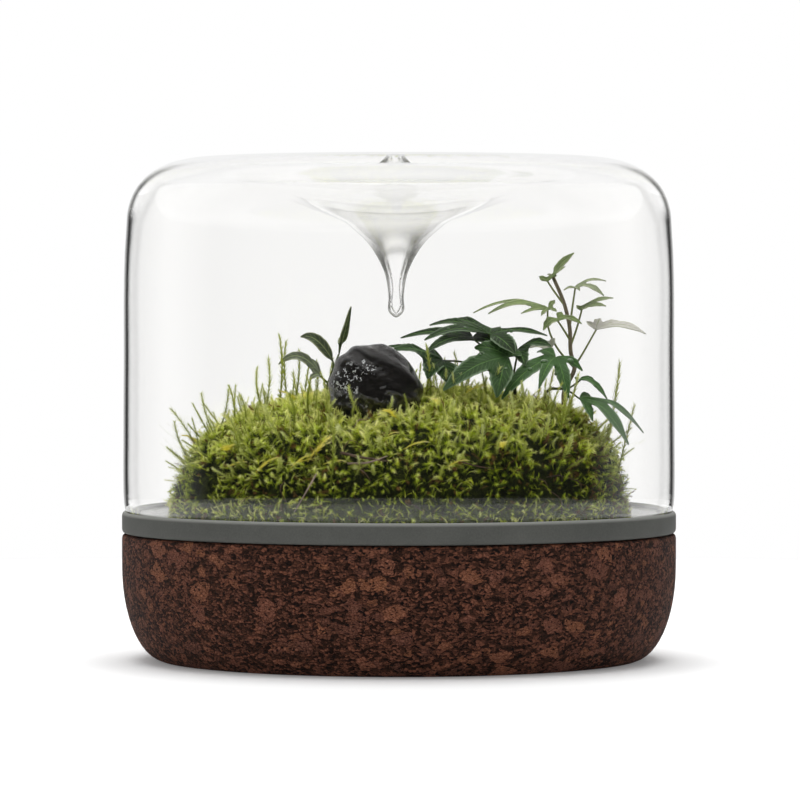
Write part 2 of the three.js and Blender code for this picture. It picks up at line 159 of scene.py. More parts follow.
def buildGrain():
    # fine grain, for the height of a bump and for small changes of tone
    group = bpy.data.node_groups.new("fineGrain", "ShaderNodeTree")
    addSockets(group, "INPUT", "Vector", Vector=None)
    addSockets(group, "INPUT", "Float", Coarse_Scale=120.0, Fine_Scale=900.0, Fine_Share=0.4)
    addSockets(group, "OUTPUT", "Float", Value=None)
    graph = Graph(group)
    taken = graph.node("NodeGroupInput")
    coarse = graph.noise(taken["Vector"], taken["Coarse Scale"], 3.0)
    fine = graph.noise(taken["Vector"], taken["Fine Scale"], 4.0)
    graph.node("NodeGroupOutput", {"Value": graph.between(taken["Fine Share"], coarse, fine)})
    return group


fineGrain = buildGrain()


def newObject(name, data):
    thing = bpy.data.objects.new(name, data)
    scene.collection.objects.link(thing)
    return thing


def addPiece(name, mesh, replaced=()):
    piece = newObject(name, mesh)
    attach(piece, "root")
    if replaced:
        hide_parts(*replaced)
    return piece


def newMesh(name, points, faces, material=None, smooth=True, **marks):
    # points in millimetres; marks are attributes with a value for each point
    mesh = bpy.data.meshes.new(name)
    mesh.from_pydata([tuple(mm * value for value in point) for point in points], [], faces)
    if material:
        mesh.materials.append(material)
    if smooth:
        mesh.shade_smooth()
    for mark, values in marks.items():
        mesh.attributes.new(mark, "FLOAT", "POINT").data.foreach_set("value", values)
    return mesh


class Heap:
    # the points, faces and marks of many small shapes that make one mesh
    def __init__(self):
        self.points, self.faces, self.marks = [], [], {}

    def add(self, points, faces, **marks):
        self.faces += [tuple(len(self.points) + i for i in corners) for corners in faces]
        self.points += points
        for mark, values in marks.items():
            if not isinstance(values, list):
                values = [values] * len(points)
            self.marks.setdefault(mark, []).extend(values)

    def piece(self, name, slot, material, replaced=(), smooth=True):
        mesh = newMesh(name, self.points, self.faces, material, smooth, **self.marks)
        return addPiece(name, mesh, replaced)


# camera, room and lamps
studio = {
    "cameraPlace": (0.45, -2125.0, 160.0),
    "cameraTilt": -1.16,                  # degrees
    "lens": 211.7,
    "frontSky": 0.92,                     # the light from the camera's side, the sides and behind
    "sideSky": 0.12,
    "backSky": 0.95,
    "darkMirror": 0.03,                   # what gloss and glass mirror, from the sides to the backdrop
    "ceilingMirror": 0.75,
    "ceilingRise": (0.68, 0.95),
    "sideMirror": 0.74,
    "backMirror": 0.86,
    "backdropRise": (0.94, 0.985),
    "throughGlass": (0.905, 1.07695),     # the white through no face of glass and through four
    "floorTone": 0.84,
    "floorGlow": 0.14,
    "mirroredGlow": 0.25,                 # share of the glow that is left in a reflection
    "floorReach": 0.85,                   # metres; past it the white room is seen
    "floorSides": 96,
    "floorThroughGlass": (0.63, 0.86),    # its tone behind glass, near and far
    "floorFade": (0.4, 0.84),
    "softboxes": {                        # watts, size, place, aim
        "overhead": (24.0, (1300, 1300), (0, 150, 1500), (0, 0, 80)),
        "behind": (9.0, (1600, 700), (0, 1500, 700), (0, 0, 120)),
        "left": (2.0, (500, 1100), (-1300, -700, 700), (0, 0, 90)),
    },
}


def buildCamera():
    eye = bpy.data.cameras.new("eye")
    eye.lens = studio["lens"]
    eye.sensor_width = 36.0
    eye.clip_start = 0.05
    eye.clip_end = 50.0
    camera = newObject("eye", eye)
    camera.location = Vector(studio["cameraPlace"]) * mm
    camera.rotation_euler = (math.radians(90 + studio["cameraTilt"]), 0.0, 0.0)
    scene.camera = camera


def buildFloor():
    look = Finish("whiteFloor", {"Roughness": 0.9, "Emission Strength": studio["floorGlow"]})
    rays = look.node("LightPath")
    mirrored = look.maths("GREATER_THAN", rays["Glossy Depth"], 0.5)
    look.feed("Emission Color", look.mix(mirrored, 1.0, studio["mirroredGlow"]))
    # behind glass it gets brighter towards its edge, so that no horizon shows
    behindGlass = look.maths("GREATER_THAN", rays["Transmission Depth"], 0.5)
    away = look.vectors("LENGTH", look.place)
    fading = look.spread(away, *studio["floorFade"], *studio["floorThroughGlass"])
    look.feed("Base Color", look.mix(behindGlass, studio["floorTone"], fading))
    sides, reach = studio["floorSides"], studio["floorReach"] / mm
    turns = [2 * math.pi * i / sides for i in range(sides)]
    outline = [(reach * math.cos(turn), reach * math.sin(turn), 0) for turn in turns]
    floor = newObject("floor", newMesh("floor", outline, [range(sides)], look.material, smooth=False))


def buildWorld():
    # white behind the object, dim at the sides, and plain white where it is seen directly
    world = bpy.data.worlds.new("whiteRoom")
    world.use_nodes = True
    graph = Graph(world.node_tree)
    maths, spread, between = graph.maths, graph.spread, graph.between
    background = graph.tree.nodes["Background"].inputs
    graph.put(background["Color"], 1.0)
    way = graph.node("SeparateXYZ", {0: graph.node("TexCoord")["Generated"]})
    rays = graph.node("LightPath")
    reflected = maths("GREATER_THAN", maths("ADD", rays["Diffuse Depth"], rays["Glossy Depth"]), 0.5)
    crossed = maths("ADD", rays["Transmission Depth"], rays["Transparent Depth"])
    through = maths("MULTIPLY", maths("GREATER_THAN", crossed, 0.5), maths("SUBTRACT", 1.0, reflected))
    seen = maths("ADD", rays["Is Camera Ray"], through, clamp=True)
    front = spread(way["Y"], -1.0, -0.1, studio["frontSky"], studio["sideSky"])
    back = spread(way["Y"], 0.4, 0.95, studio["sideSky"], studio["backSky"])
    ceiling = spread(way["Z"], *studio["ceilingRise"], studio["darkMirror"], studio["ceilingMirror"])
    backdrop = spread(way["Y"], *studio["backdropRise"], studio["darkMirror"], studio["backMirror"])
    strip = spread(way["Y"], 0.88, 0.93, studio["sideMirror"], 0.0)
    strip = maths("MULTIPLY", strip, spread(way["Y"], -0.1, 0.4))
    matt, glossy = maths("MAXIMUM", front, back), graph.chain("MAXIMUM", strip, ceiling, backdrop)
    room = between(maths("GREATER_THAN", rays["Glossy Depth"], 0.5), matt, glossy)
    # a little brighter for each face of glass on the way, so that thick and thin glass look alike
    makeUp = spread(rays["Transmission Depth"], 0.0, 4.0, *studio["throughGlass"])
    graph.put(background["Strength"], between(seen, room, between(through, 1.0, makeUp)))
    scene.world = world


def buildLamps():
    for name, (power, size, place, target) in studio["softboxes"].items():
        light = bpy.data.lights.new(name, "AREA")
        light.shape = "RECTANGLE"
        light.size, light.size_y = (mm * value for value in size)
        light.energy = power
        lamp = newObject(name, light)
        lamp.location = Vector(place) * mm
        lamp.rotation_euler = (Vector(target) * mm - lamp.location).to_track_quat("-Z", "Y").to_euler()
        lamp.visible_transmission = False         # no lamp shows through the glass
        lamp.visible_glossy = name == "overhead"


buildCamera()
buildFloor()
buildWorld()
buildLamps()
scene.view_settings.view_transform = "Standard"
print("room and camera made")


# shapes that several pieces share
def curveThrough(stops, steps, power=0.5):
    # a smooth route through the stops, however unevenly they are spaced
    stops = [Vector(stop) for stop in stops]
    ends = [stops[0] * 2 - stops[1], *stops, stops[-1] * 2 - stops[-2]]
    route = []

    def slope(a, b, c, one, two):
        return (b - a) / one - (c - a) / (one + two) + (c - b) / two

    for before, here, there, after in zip(ends, ends[1:], ends[2:], ends[3:]):
        first, second, third = (
            max(1e-4, (b - a).length ** power) for a, b in ((before, here), (here, there), (there, after))
        )
        leave = slope(before, here, there, first, second) * second
        arrive = slope(here, there, after, second, third) * second
        for step in range(steps):
            t = step / steps
            route.append(here * (2 * t ** 3 - 3 * t ** 2 + 1) + leave * (t ** 3 - 2 * t ** 2 + t)
                         + there * (3 * t ** 2 - 2 * t ** 3) + arrive * (t ** 3 - t ** 2))
    route.append(stops[-1])
    return route


def smoothLine(points, steps, power=0.5):
    # the same for a flat line of [radius, z] points
    return [(point.x, point.z) for point in curveThrough([(x, 0.0, z) for x, z in points], steps, power)]


def polar(radius, turn, z=0.0):
    return Vector((radius * math.cos(turn), radius * math.sin(turn), z))


def standing(way):
    # turns +Z into the given way
    return way.to_track_quat("Z", "Y").to_matrix()


def joined(low, high, wide, closed=True):
    # the faces between two rows of points
    pairs = [(k, (k + 1) % wide) for k in range(wide if closed else wide - 1)]
    return [(low + i, low + j, high + j, high + i) for i, j in pairs]


def turned(profile, sides):
    # [radius, z] from the axis below to the axis above, or a closed loop, turned round Z
    points, rings = [], []
    for radius, z in profile:
        if radius < 1e-6:
            rings.append([len(points)] * sides)
            points.append((0.0, 0.0, z))
        else:
            rings.append(list(range(len(points), len(points) + sides)))
            for i in range(sides):
                turn = 2 * math.pi * i / sides
                points.append((radius * math.cos(turn), radius * math.sin(turn), z))
    faces = []
    for low, high in zip(rings, rings[1:]):
        for i in range(sides):
            j = (i + 1) % sides
            corners = list(dict.fromkeys((low[i], low[j], high[j], high[i])))
            if len(corners) > 2:
                faces.append(tuple(corners))
    return points, faces


def bumps(x, y, z, size):
    a = math.sin((x + 0.6 * y) / size + 1.3) * math.cos((y - 0.4 * z) / size + 0.7)
    b = math.sin((1.7 * y + z) / size + 2.1) * math.cos((1.9 * x - 0.8 * z) / size + 4.2)
    return 0.6 * a + 0.4 * b


def smoothStep(value, low, high):
    t = min(max((value - low) / (high - low), 0.0), 1.0)
    return t * t * (3 - 2 * t)


def tube(route, radius, sides=10, taper=0.0):
    points, faces = [], []
    side = None
    for i, here in enumerate(route):
        ahead = (route[min(i + 1, len(route) - 1)] - route[max(i - 1, 0)]).normalized()
        side = (side - ahead * side.dot(ahead)).normalized() if side else ahead.orthogonal().normalized()
        other = ahead.cross(side)
        wide = radius * (1 - taper * i / (len(route) - 1))
        for k in range(sides):
            turn = 2 * math.pi * k / sides
            points.append(here + side * wide * math.cos(turn) + other * wide * math.sin(turn))
        if i:
            faces += joined(sides * (i - 1), sides * i, sides)
    faces.append(tuple(reversed(range(sides))))
    faces.append(tuple(range(len(points) - sides, len(points))))
    return points, faces


# cork base
cork = {
    "sides": 288,
    "footRadius": 106.0,
    "topRadius": 125.0,
    "overRise": 42.0,
    "height": 57.0,
    "wellRadius": 106.3,
    "floor": 14.0,
    "granuleScale": 620.0,                       # granules a metre
    "chips": [(185.0, 0.26, 0.6), (88.0, 0.2, 0.8)],     # how many a metre, their share, how plain they are
    "seam": (0.05, 0.16),                        # share of a chip's cell that its edge leaves free
    "ragged": 0.0036,
    "raggedScale": 190.0,
    "fibreScale": 900.0,
    "pitScale": 640.0,
    "roughness": (0.25, 0.62),                   # spread, least
    "relief": (0.0009, 0.9),                     # metres, strength
    "granules": [(0.0, "#1c0f0a"), (0.35, "#3c251b"), (0.8, "#6c4435"), (1.0, "#784b39")],
    "chipTones": [(0.0, "#5e382a"), (0.55, "#955b46"), (1.0, "#b8754f")],
    "fibreTones": [(0.3, (0.04, 0.022, 0.018)), (0.7, (0.24, 0.11, 0.08))],
    "pit": (0.004, 0.003, 0.003),
}


def corkMaterial():
    look = Finish("darkCork", {"Specular IOR Level": 0.1})
    cloud = look.noise(look.place, cork["raggedScale"], 3.0, "Color")
    shift = look.vectors("SUBTRACT", cloud, (0.5, 0.5, 0.5))
    moved = look.vectors("ADD", look.place, look.vectors("SCALE", shift, cork["ragged"]))
    flat = look.stretched(moved, (1.0, 1.0, 1.7))
    granules = look.node("SeparateColor", {0: look.cells(flat, cork["granuleScale"], "Color")})
    color = look.ramp(granules[0], *cork["granules"])
    fine = look.grain(flat, 420.0, 1500.0, 0.5)
    upright = look.stretched(moved, (1.0, 1.0, 0.25))
    fibres = look.ramp(look.noise(upright, cork["fibreScale"]), *cork["fibreTones"])
    for scale, share, plain in cork["chips"]:
        pick = look.node("SeparateColor", {0: look.cells(flat, scale, "Color")})
        isChip = look.maths("LESS_THAN", pick[1], share)
        toEdge = look.cells(flat, scale, feature="DISTANCE_TO_EDGE")
        inside = look.maths("GREATER_THAN", toEdge, look.spread(pick[2], 0.0, 1.0, *cork["seam"]))
        chip = look.mix(0.5, look.ramp(pick[0], *cork["chipTones"]), fibres)
        color = look.mix(look.chain("MULTIPLY", isChip, inside, plain), color, chip)
    # darker along the cracks between the granules: their own dark gaps and a painted shade in them
    cracks = look.cells(flat, cork["granuleScale"], feature="DISTANCE_TO_EDGE")
    color = look.mix(1.0, color, look.ramp(cracks, (0.0, 0.35), (0.1, 1)), "MULTIPLY")
    pits = look.ramp(look.noise(flat, cork["pitScale"], 3.0), (0.57, 0), (0.64, 1))
    look.feed("Base Color", look.mix(pits, color, cork["pit"]))
    look.feed("Roughness", look.maths("MULTIPLY_ADD", fine, *cork["roughness"]))
    height = look.mix(0.45, look.ramp(cracks, (0.0, 0), (0.16, 1)), fine)
    look.bump(look.mix(pits, height, 0), *cork["relief"])
    return look.material


def buildCork():
    foot, top, high, well, floor = (
        cork[key] for key in ("footRadius", "topRadius", "height", "wellRadius", "floor")
    )
    profile = [(0.0, 0.0), (80.0, 0.0)]
    for i in range(15):
        turn = i / 14 * math.pi / 2
        profile.append((foot + (top - foot) * math.sin(turn), cork["overRise"] * (1 - math.cos(turn))))
    profile += [
        (top, 46.0), (top, 51.0), (top, high - 2.0), (top - 0.3, high - 0.9), (top - 0.9, high - 0.3),
        (top - 1.8, high), (well + 1, high), (well, high - 1), (well, floor + 2), (well - 2, floor),
        (0.0, floor),
    ]
    mesh = newMesh("corkBody", *turned(profile, cork["sides"]), corkMaterial())
    addPiece("corkBody", mesh, ["cork_base"])
    print("cork base made")


buildCork()


# silicone tray
tray = {
    "sides": 288,
    "profile": [
        (0.0, 14.3), (104.0, 14.3), (106.0, 16.3), (106.0, 57.3), (122.6, 57.3), (123.6, 57.4),
        (124.45, 57.8), (124.85, 58.5), (125.0, 59.3), (125.0, 63.0), (125.0, 65.0), (124.87, 65.8),
        (124.55, 66.45), (124.1, 66.85), (123.8, 67.0), (123.55, 66.95), (123.35, 66.6), (123.0, 65.6),
        (122.7, 64.8), (122.7, 64.2), (118.6, 64.2), (118.6, 65.95), (118.55, 66.0), (110.0, 66.0),
        (103.8, 66.0), (103.3, 65.85), (103.05, 65.5), (103.0, 65.0), (103.0, 19.0), (101.0, 17.0),
        (0.0, 17.0),
    ],
    "tones": [(0.3, "#4a4b48"), (0.7, "#595a56")],
    "speck": "#7c8185",
    # the colour of a painted highlight along the top of the lip
    "lipHighlight": "#8b8c87",
    "lipHighlightRise": (0.0653, 0.0662),
    "dustScale": 620.0,
    "roughness": 0.64,
    "levelRoughness": 0.16,           # the ledge round the glass is smooth
}


def siliconeMaterial():
    look = Finish("greySilicone", {"Specular IOR Level": 0.2})
    cloud = look.grain(look.place, 60.0, 1400.0, 0.55)
    dust = look.ramp(look.cells(look.place, tray["dustScale"]), (0.0, 1), (0.07, 0))
    color = look.mix(dust, look.ramp(cloud, *tray["tones"]), tray["speck"])
    # lighter at the top of the lip: a painted highlight where the light catches its edge
    lipHighlight = look.spread(look.along(look.place, "Z"), *tray["lipHighlightRise"], 0.0, 0.7)
    look.feed("Base Color", look.mix(lipHighlight, color, tray["lipHighlight"]))
    rough = look.maths("MULTIPLY_ADD", cloud, 0.16, tray["roughness"])
    level = look.maths("GREATER_THAN", look.along(look.node("NewGeometry")["Normal"], "Z"), 0.95)
    look.feed("Roughness", look.between(level, rough, tray["levelRoughness"]))
    look.bump(cloud, 0.00008, 0.5)
    return look.material


def buildTray():
    mesh = newMesh("trayBody", *turned(tray["profile"], tray["sides"]), siliconeMaterial())
    addPiece("trayBody", mesh, ["silicone_tray"])
    print("silicone tray made")


buildTray()


# soil: the CAD solid stays, with a crumbly finish
def dressSoil():
    look = Finish("dampSoil", {"Roughness": 0.95})
    crumbs = look.grain(look.place, 300.0, 1100.0, 0.5)
    look.feed("Base Color", look.ramp(crumbs, (0.3, "#1c130d"), (0.55, "#33241a"), (0.8, "#4d3a2b")))
    look.bump(crumbs, 0.0015)
    for slot in bpy.data.objects["soil"].material_slots:
        slot.material = look.material
    print("soil dressed")


dressSoil()


# pebble
pebble = {
    "middle": Vector((-10.5, -50.0, 121.0)),
    "reach": (20.6, 14.0),
    "up": 20.8,
    "down": 16.6,
    "subdivisions": 6,
    "ripple": 0.007,
    "tones": [(0.35, "#050403"), (0.62, "#100e0b"), (0.8, "#24211b")],
    # white painted glints, where wet spots catch the light
    "paintedGlint": "#dfe2e2",
    "paintedGlints": (-23.0, -60.0, 126.5),         # where they are thickest
    "glintsReach": (0.003, 0.0095),
    "glintScale": 620.0,
    "rippleScale": 260.0,
    "layerScale": 95.0,
    "relief": 0.0016,
}


def pebbleSurface(way):
    ridges = 0.02 * math.sin(7 * way.x + 12 * way.z + 3 * way.y)
    strong = 0.5 + 0.5 * bumps(way.x * 10, way.y * 10, way.z * 10, 2.6)
    ripples = math.sin(34 * way.z + 3 * math.sin(9 * way.x + 2) + 4 * way.y) * strong
    ripples += 0.6 * bumps(way.x * 10, way.y * 10, way.z * 16, 1.0)
    lump = 1 + 0.05 * bumps(way.x * 10, way.y * 10, way.z * 10, 7) + ridges + pebble["ripple"] * ripples
    slope = 1 - 0.25 * way.x * abs(way.x) if way.z > 0 else 1.0
    x = way.x * lump * pebble["reach"][0]
    y = way.y * lump * pebble["reach"][1]
    z = way.z * lump * slope * (pebble["up"] if way.z > 0 else pebble["down"])
    return pebble["middle"] + Vector((x, y, z))


def pebbleMaterial():
    look = Finish("wetPebble", {
        "Specular IOR Level": 0.06, "Coat Weight": 1.0, "Coat Roughness": 0.03, "Coat IOR": 1.65,
    })
    cloud = look.grain(look.place, 150.0, 1600.0, 0.45)
    # white painted glints, thickest near one place on the stone's upper left, where wet spots catch the
    # light
    spots = look.noise(look.place, pebble["glintScale"], Distortion=1.2)
    spots = look.ramp(spots, (0.58, 0), (0.62, 1))
    away = look.vectors("DISTANCE", look.place, Vector(pebble["paintedGlints"]) * mm)
    thickest = look.spread(away, *pebble["glintsReach"], 0.2, 0.0)
    where = look.maths("ADD", look.noise(look.place, 90.0, 3.0), thickest)
    paintedGlints = look.mix(1.0, spots, look.ramp(where, (0.58, 0), (0.68, 1)), "MULTIPLY")
    look.feed("Base Color", look.mix(paintedGlints, look.ramp(cloud, *pebble["tones"]), pebble["paintedGlint"]))
    look.feed("Roughness", look.ramp(cloud, (0.35, 0.08), (0.7, 0.2)))
    lying = look.stretched(look.place, (1.0, 1.0, 2.3))
    ripple = look.noise(lying, pebble["rippleScale"], 5.0, Roughness=0.62, Distortion=0.8)
    layers = look.node("TexWave", {
        "Vector": look.place, "Scale": pebble["layerScale"], "Distortion": 7.0, "Detail": 3.0,
        "Detail Scale": 2.0,
    }, bands_direction="Z")["Fac"]
    look.bump(look.mix(0.7, layers, ripple), pebble["relief"])
    return look.material


def buildPebble():
    shape = bmesh.new()
    bmesh.ops.create_icosphere(shape, subdivisions=pebble["subdivisions"], radius=1.0)
    for corner in shape.verts:
        corner.co = pebbleSurface(corner.co.normalized()) * mm
    mesh = bpy.data.meshes.new("pebbleStone")
    shape.to_mesh(mesh)
    shape.free()
    mesh.materials.append(pebbleMaterial())
    mesh.shade_smooth()
    addPiece("pebbleStone", mesh, ["pebble"])
    print("pebble made")


buildPebble()


def pebbleClearance(point, grow):
    # above 1 outside the pebble, seen from over it
    dx = (point.x - pebble["middle"].x) / (pebble["reach"][0] + grow)
    dy = (point.y - pebble["middle"].y) / (pebble["reach"][1] + grow)
    return math.hypot(dx, dy)


# moss: a cushion of earth and four plots of shoots on it
moss = {
    "outline": [
        (102.4, 63.8), (102.8, 70), (102, 76.5), (100, 83.5), (97, 90.5), (92, 97.5), (85.5, 103),
        (76, 108), (64, 112.6), (50, 116), (35, 118.4), (18, 119.4), (0, 119.6),
    ],
    "foot": 63.8,
    "swell": 3.4,
    "tilt": 0.028,
    "sunkUnderTips": 2.6,
    "ringStep": 2.4,
    "pebbleBed": 104.0,
    "toneShare": 0.42,
    "patchScale": 38.0,
    "lightUp": (0.07, 0.116, -0.24, 0.33),        # from a height to a height in metres, light there
    "lightAtFoot": (0.067, 0.078, 0.6, 0.0),
    "rustToTheRight": (0.02, 0.1, 0.0, 0.16),
    "brightness": 0.72,
    "sides": 220,
    "tallCount": 140,
    "tallSeed": 29,
    # the earth's tones are dark: its own colour and a painted shade in the holes between the shoots
    "groundTones": [(0.3, "#0d0f04"), (0.5, "#242a0a"), (0.7, "#454f14"), (0.85, "#54401c")],
    # lighter and greyer at the foot: a painted reflection where the glass's foot veils the cushion
    "paintedVeilTones": [(0.35, "#2c3516"), (0.65, "#6b7838")],
    "rustTones": [(0.0, "#3a2410"), (1.0, "#8a6a35")],
    # the under layer's tones run darker: the lower shoots' own colour and a painted shade under the top
    # layer
    "dark": [(0.1, "#040501"), (0.4, "#1f2605"), (0.7, "#5c6b0c"), (1.0, "#a4b32e")],
    "green": [(0.1, "#0a0f02"), (0.36, "#50640a"), (0.64, "#c6d836"), (1.0, "#fbfda0")],
    "yellow": [(0.1, "#1f2604"), (0.4, "#8a9a16"), (0.7, "#d6de46"), (1.0, "#f8f8a8")],
}

# the four plots; a sprig is (length, pairs, leaf length and width, bend, spread, ranks, seed, stem width,
# steps, arch) of one of the shoots that are planted
plots = {
    "mossUnder": {
        "tones": "dark", "rustShare": 0.14, "Least Gap": 0.00185, "Density": 500000.0, "Smallest": 0.7,
        "Largest": 1.15, "Upright": 0.1, "Wander": 1.1, "Seed": 4,
        "sprigs": [
            (3.6, 5, 1.2, 0.42, 1.6, 1.2, 3, 1, 0.16, 1),
            (4.6, 6, 1.1, 0.4, -2.4, 1.15, 3, 2, 0.16, 1, 0.2),
            (3.0, 4, 1.3, 0.42, 0.9, 1.3, 4, 3, 0.16, 1),
        ],
    },
    "mossTurf": {
        "tones": "green", "rustShare": 0.05, "Least Gap": 0.00266, "Density": 300000.0, "Smallest": 0.65,
        "Largest": 1.2, "Upright": 0.15, "Wander": 1.1, "Seed": 5,
        "sprigs": [
            (6.6, 13, 1.6, 0.27, 3.4, 1.15, 3, 7, 0.13, 3, 0.25),
            (5.4, 11, 1.6, 0.27, 1.6, 1.15, 3, 8, 0.13, 2),
            (7.8, 15, 1.45, 0.26, -4.6, 1.1, 3, 9, 0.13, 3, 0.35),
        ],
    },
    "mossFeathers": {
        "tones": "green", "rustShare": 0.08, "Least Gap": 0.00282, "Density": 300000.0, "Smallest": 0.6,
        "Largest": 1.2, "Upright": 0.1, "Wander": 1.3, "Seed": 6,
        "sprigs": [
            (8.4, 18, 1.6, 0.26, 6.0, 1.05, 2, 17, 0.12, 4, 0.45),
            (6.6, 14, 1.7, 0.26, -4.6, 1.05, 2, 18, 0.12, 4, 0.4),
            (7.4, 15, 1.3, 0.28, 3.0, 1.1, 3, 19, 0.14, 3, 0.2),
        ],
    },
    "mossFronds": {
        "tones": "yellow", "rustShare": 0.05, "Least Gap": 0.0033, "Density": 110000.0, "Smallest": 0.5,
        "Largest": 1.2, "Upright": 0.25, "Wander": 1.1, "Seed": 11,
        "sprigs": [
            (9.5, 17, 2.0, 0.28, 6.0, 1.1, 2, 4, 0.13, 4, 0.4),
            (7.5, 14, 2.2, 0.28, -5.0, 1.1, 2, 5, 0.13, 4, 0.4),
            (10.0, 18, 1.35, 0.34, 3.5, 1.05, 3, 6, 0.16, 4, 0.1),
        ],
    },
}


def mossSwell(point, sunk=0.0):
    above = smoothStep(point.z, moss["foot"] + 1, moss["foot"] + 14)
    outward = Vector((point.x, point.y, point.z - moss["foot"])).normalized()
    swell = moss["swell"] * above * bumps(point.x, point.y, point.z, 6.2)
    lifted = Vector((point.x, point.y, point.z + moss["tilt"] * point.x * above))
    return lifted + outward * (swell - sunk)


def groundMaterial():
    look = Finish("mossGround", {"Roughness": 0.95, "Specular IOR Level": 0.2})
    cloud = look.grain(look.place, 240.0, 1300.0, 0.5)
    # lighter at the foot: a painted reflection where the glass's foot veils the cushion
    paintedVeilAtFoot = look.spread(look.along(look.place, "Z"), 0.069, 0.077, 1.0, 0.0)
    color = look.mix(paintedVeilAtFoot, look.ramp(cloud, *moss["groundTones"]), look.ramp(cloud, *moss["paintedVeilTones"]))
    look.feed("Base Color", color)
    look.bump(cloud, 0.002)
    return look.material


def leafyMossMaterial(name, stops, rustShare):
    # brighter towards the tips; painted light up the cushion and to the left, and a painted reflection at
    # its foot behind the misted glass
    look = Finish(name, {"Roughness": 0.6, "Specular IOR Level": 0.15})
    height, tone = look.mark("tipShare"), look.mark("tone")
    place = look.node("SeparateXYZ", {0: look.place})
    light = look.chain(
        "ADD", height, look.maths("MULTIPLY_ADD", tone, moss["toneShare"], -moss["toneShare"]),
        look.noise(look.place, moss["patchScale"]), look.spread(place["Z"], *moss["lightUp"]),
        look.maths("MULTIPLY", place["X"], -1.0), look.spread(place["Z"], *moss["lightAtFoot"]),
    )
    color = look.ramp(look.maths("MULTIPLY", light, moss["brightness"]), *stops)
    rusty = look.maths("ADD", tone, look.spread(place["X"], *moss["rustToTheRight"]))
    rusty = look.maths("GREATER_THAN", rusty, 1.0 - rustShare)
    look.feed("Base Color", look.mix(rusty, color, look.ramp(height, *moss["rustTones"])))
    return look.material


def buildMossGround():
    foot = moss["foot"]
    line = smoothLine(moss["outline"], 4)
    profile = [(radius, foot + 0.3) for radius in (0.0, 60.0, 90.0)]
    for (radius, z), (nextRadius, nextZ) in zip(line, line[1:]):
        profile.append((radius, z))
        parts = max(1, int((radius - nextRadius) / moss["ringStep"]))
        for part in range(1, parts):
            share = part / parts
            profile.append((radius + (nextRadius - radius) * share, z + (nextZ - z) * share))
    profile.append((0.0, moss["outline"][-1][1]))
    points, faces = turned(profile, moss["sides"])
    placed, growing = [], []
    for x, y, z in points:
        point = Vector((x, y, z))
        onTop = z > foot + 0.5
        if onTop:
            point = mossSwell(point, moss["sunkUnderTips"] * smoothStep(z, foot + 1, foot + 8))
            point.z += 0.5 * bumps(x, y, z, 1.9)
            if pebbleClearance(point, 0.0) < 1.0:
                point.z = min(point.z, moss["pebbleBed"])
        placed.append(point)
        # holes between the shoots, where the dark earth shows with its painted shade, but none at the foot,
        # where the glass veils them
        high = smoothStep(z, 94, 110)
        full = smoothStep(bumps(x + 40, y - 25, z, 4.3), -0.45 - 0.3 * high, 0.05 - 0.15 * high)
        full = max(full, 1.0 - smoothStep(z, 68, 75))
        growing.append(0.12 + 0.88 * full if onTop and pebbleClearance(point, 1.0) > 1.0 else 0.0)
    mesh = newMesh("mossGround", placed, faces, groundMaterial(), open=growing)
    return addPiece("mossGround", mesh, ["moss_carpet"])


def sprig(name, length, pairs, leafLength, leafWidth, bend, spread, ranks, seed, stemWidth=0.22, steps=4,
          arch=0.0):
    # one small leafy moss shoot standing on the origin
    rng = random.Random(seed)
    points, faces, heights = [], [], []

    def spine(t):
        return Vector((bend * t * t, 0.2 * bend * math.sin(2.4 * t), length * (t - arch * t * t)))

    for step in range(steps + 1):
        t = step / steps
        wide = stemWidth * (1 - 0.7 * t)
        for turn in (0, 2.1, 4.2):
            points.append(spine(t) + polar(wide, turn))
            heights.append(t)
        if step:
            faces += joined(3 * (step - 1), 3 * step, 3)
    for leaf in range(pairs * ranks):
        t = 0.12 + 0.86 * (leaf + 0.5) / (pairs * ranks)
        turn = leaf * (math.pi if ranks == 2 else goldenAngle) + 0.4 * rng.random()
        reach = leafLength * (0.55 + 0.6 * math.sin(math.pi * (0.15 + 0.75 * t)))
        reach *= 0.85 + 0.3 * rng.random()
        lift = spread * (0.8 + 0.4 * rng.random()) * (1 - 0.3 * t * t)
        outward = polar(1.0, turn)
        along = (spine(min(1.0, t + 0.05)) - spine(t - 0.05)).normalized()
        outward = (outward - along * outward.dot(along)).normalized()
        way = (outward * math.sin(lift) + along * math.cos(lift)).normalized()
        side = outward.cross(along) * leafWidth * 0.5
        root = spine(t)
        faces.append((len(points), len(points) + 1, len(points) + 2))
        points += [root + side, root + way * reach + outward * 0.12 * reach, root - side]
        heights += [t * 0.9, min(1.0, t + 0.15), t * 0.9]
    return bpy.data.objects.new(name, newMesh(name, points, faces, smooth=False, tipShare=heights))


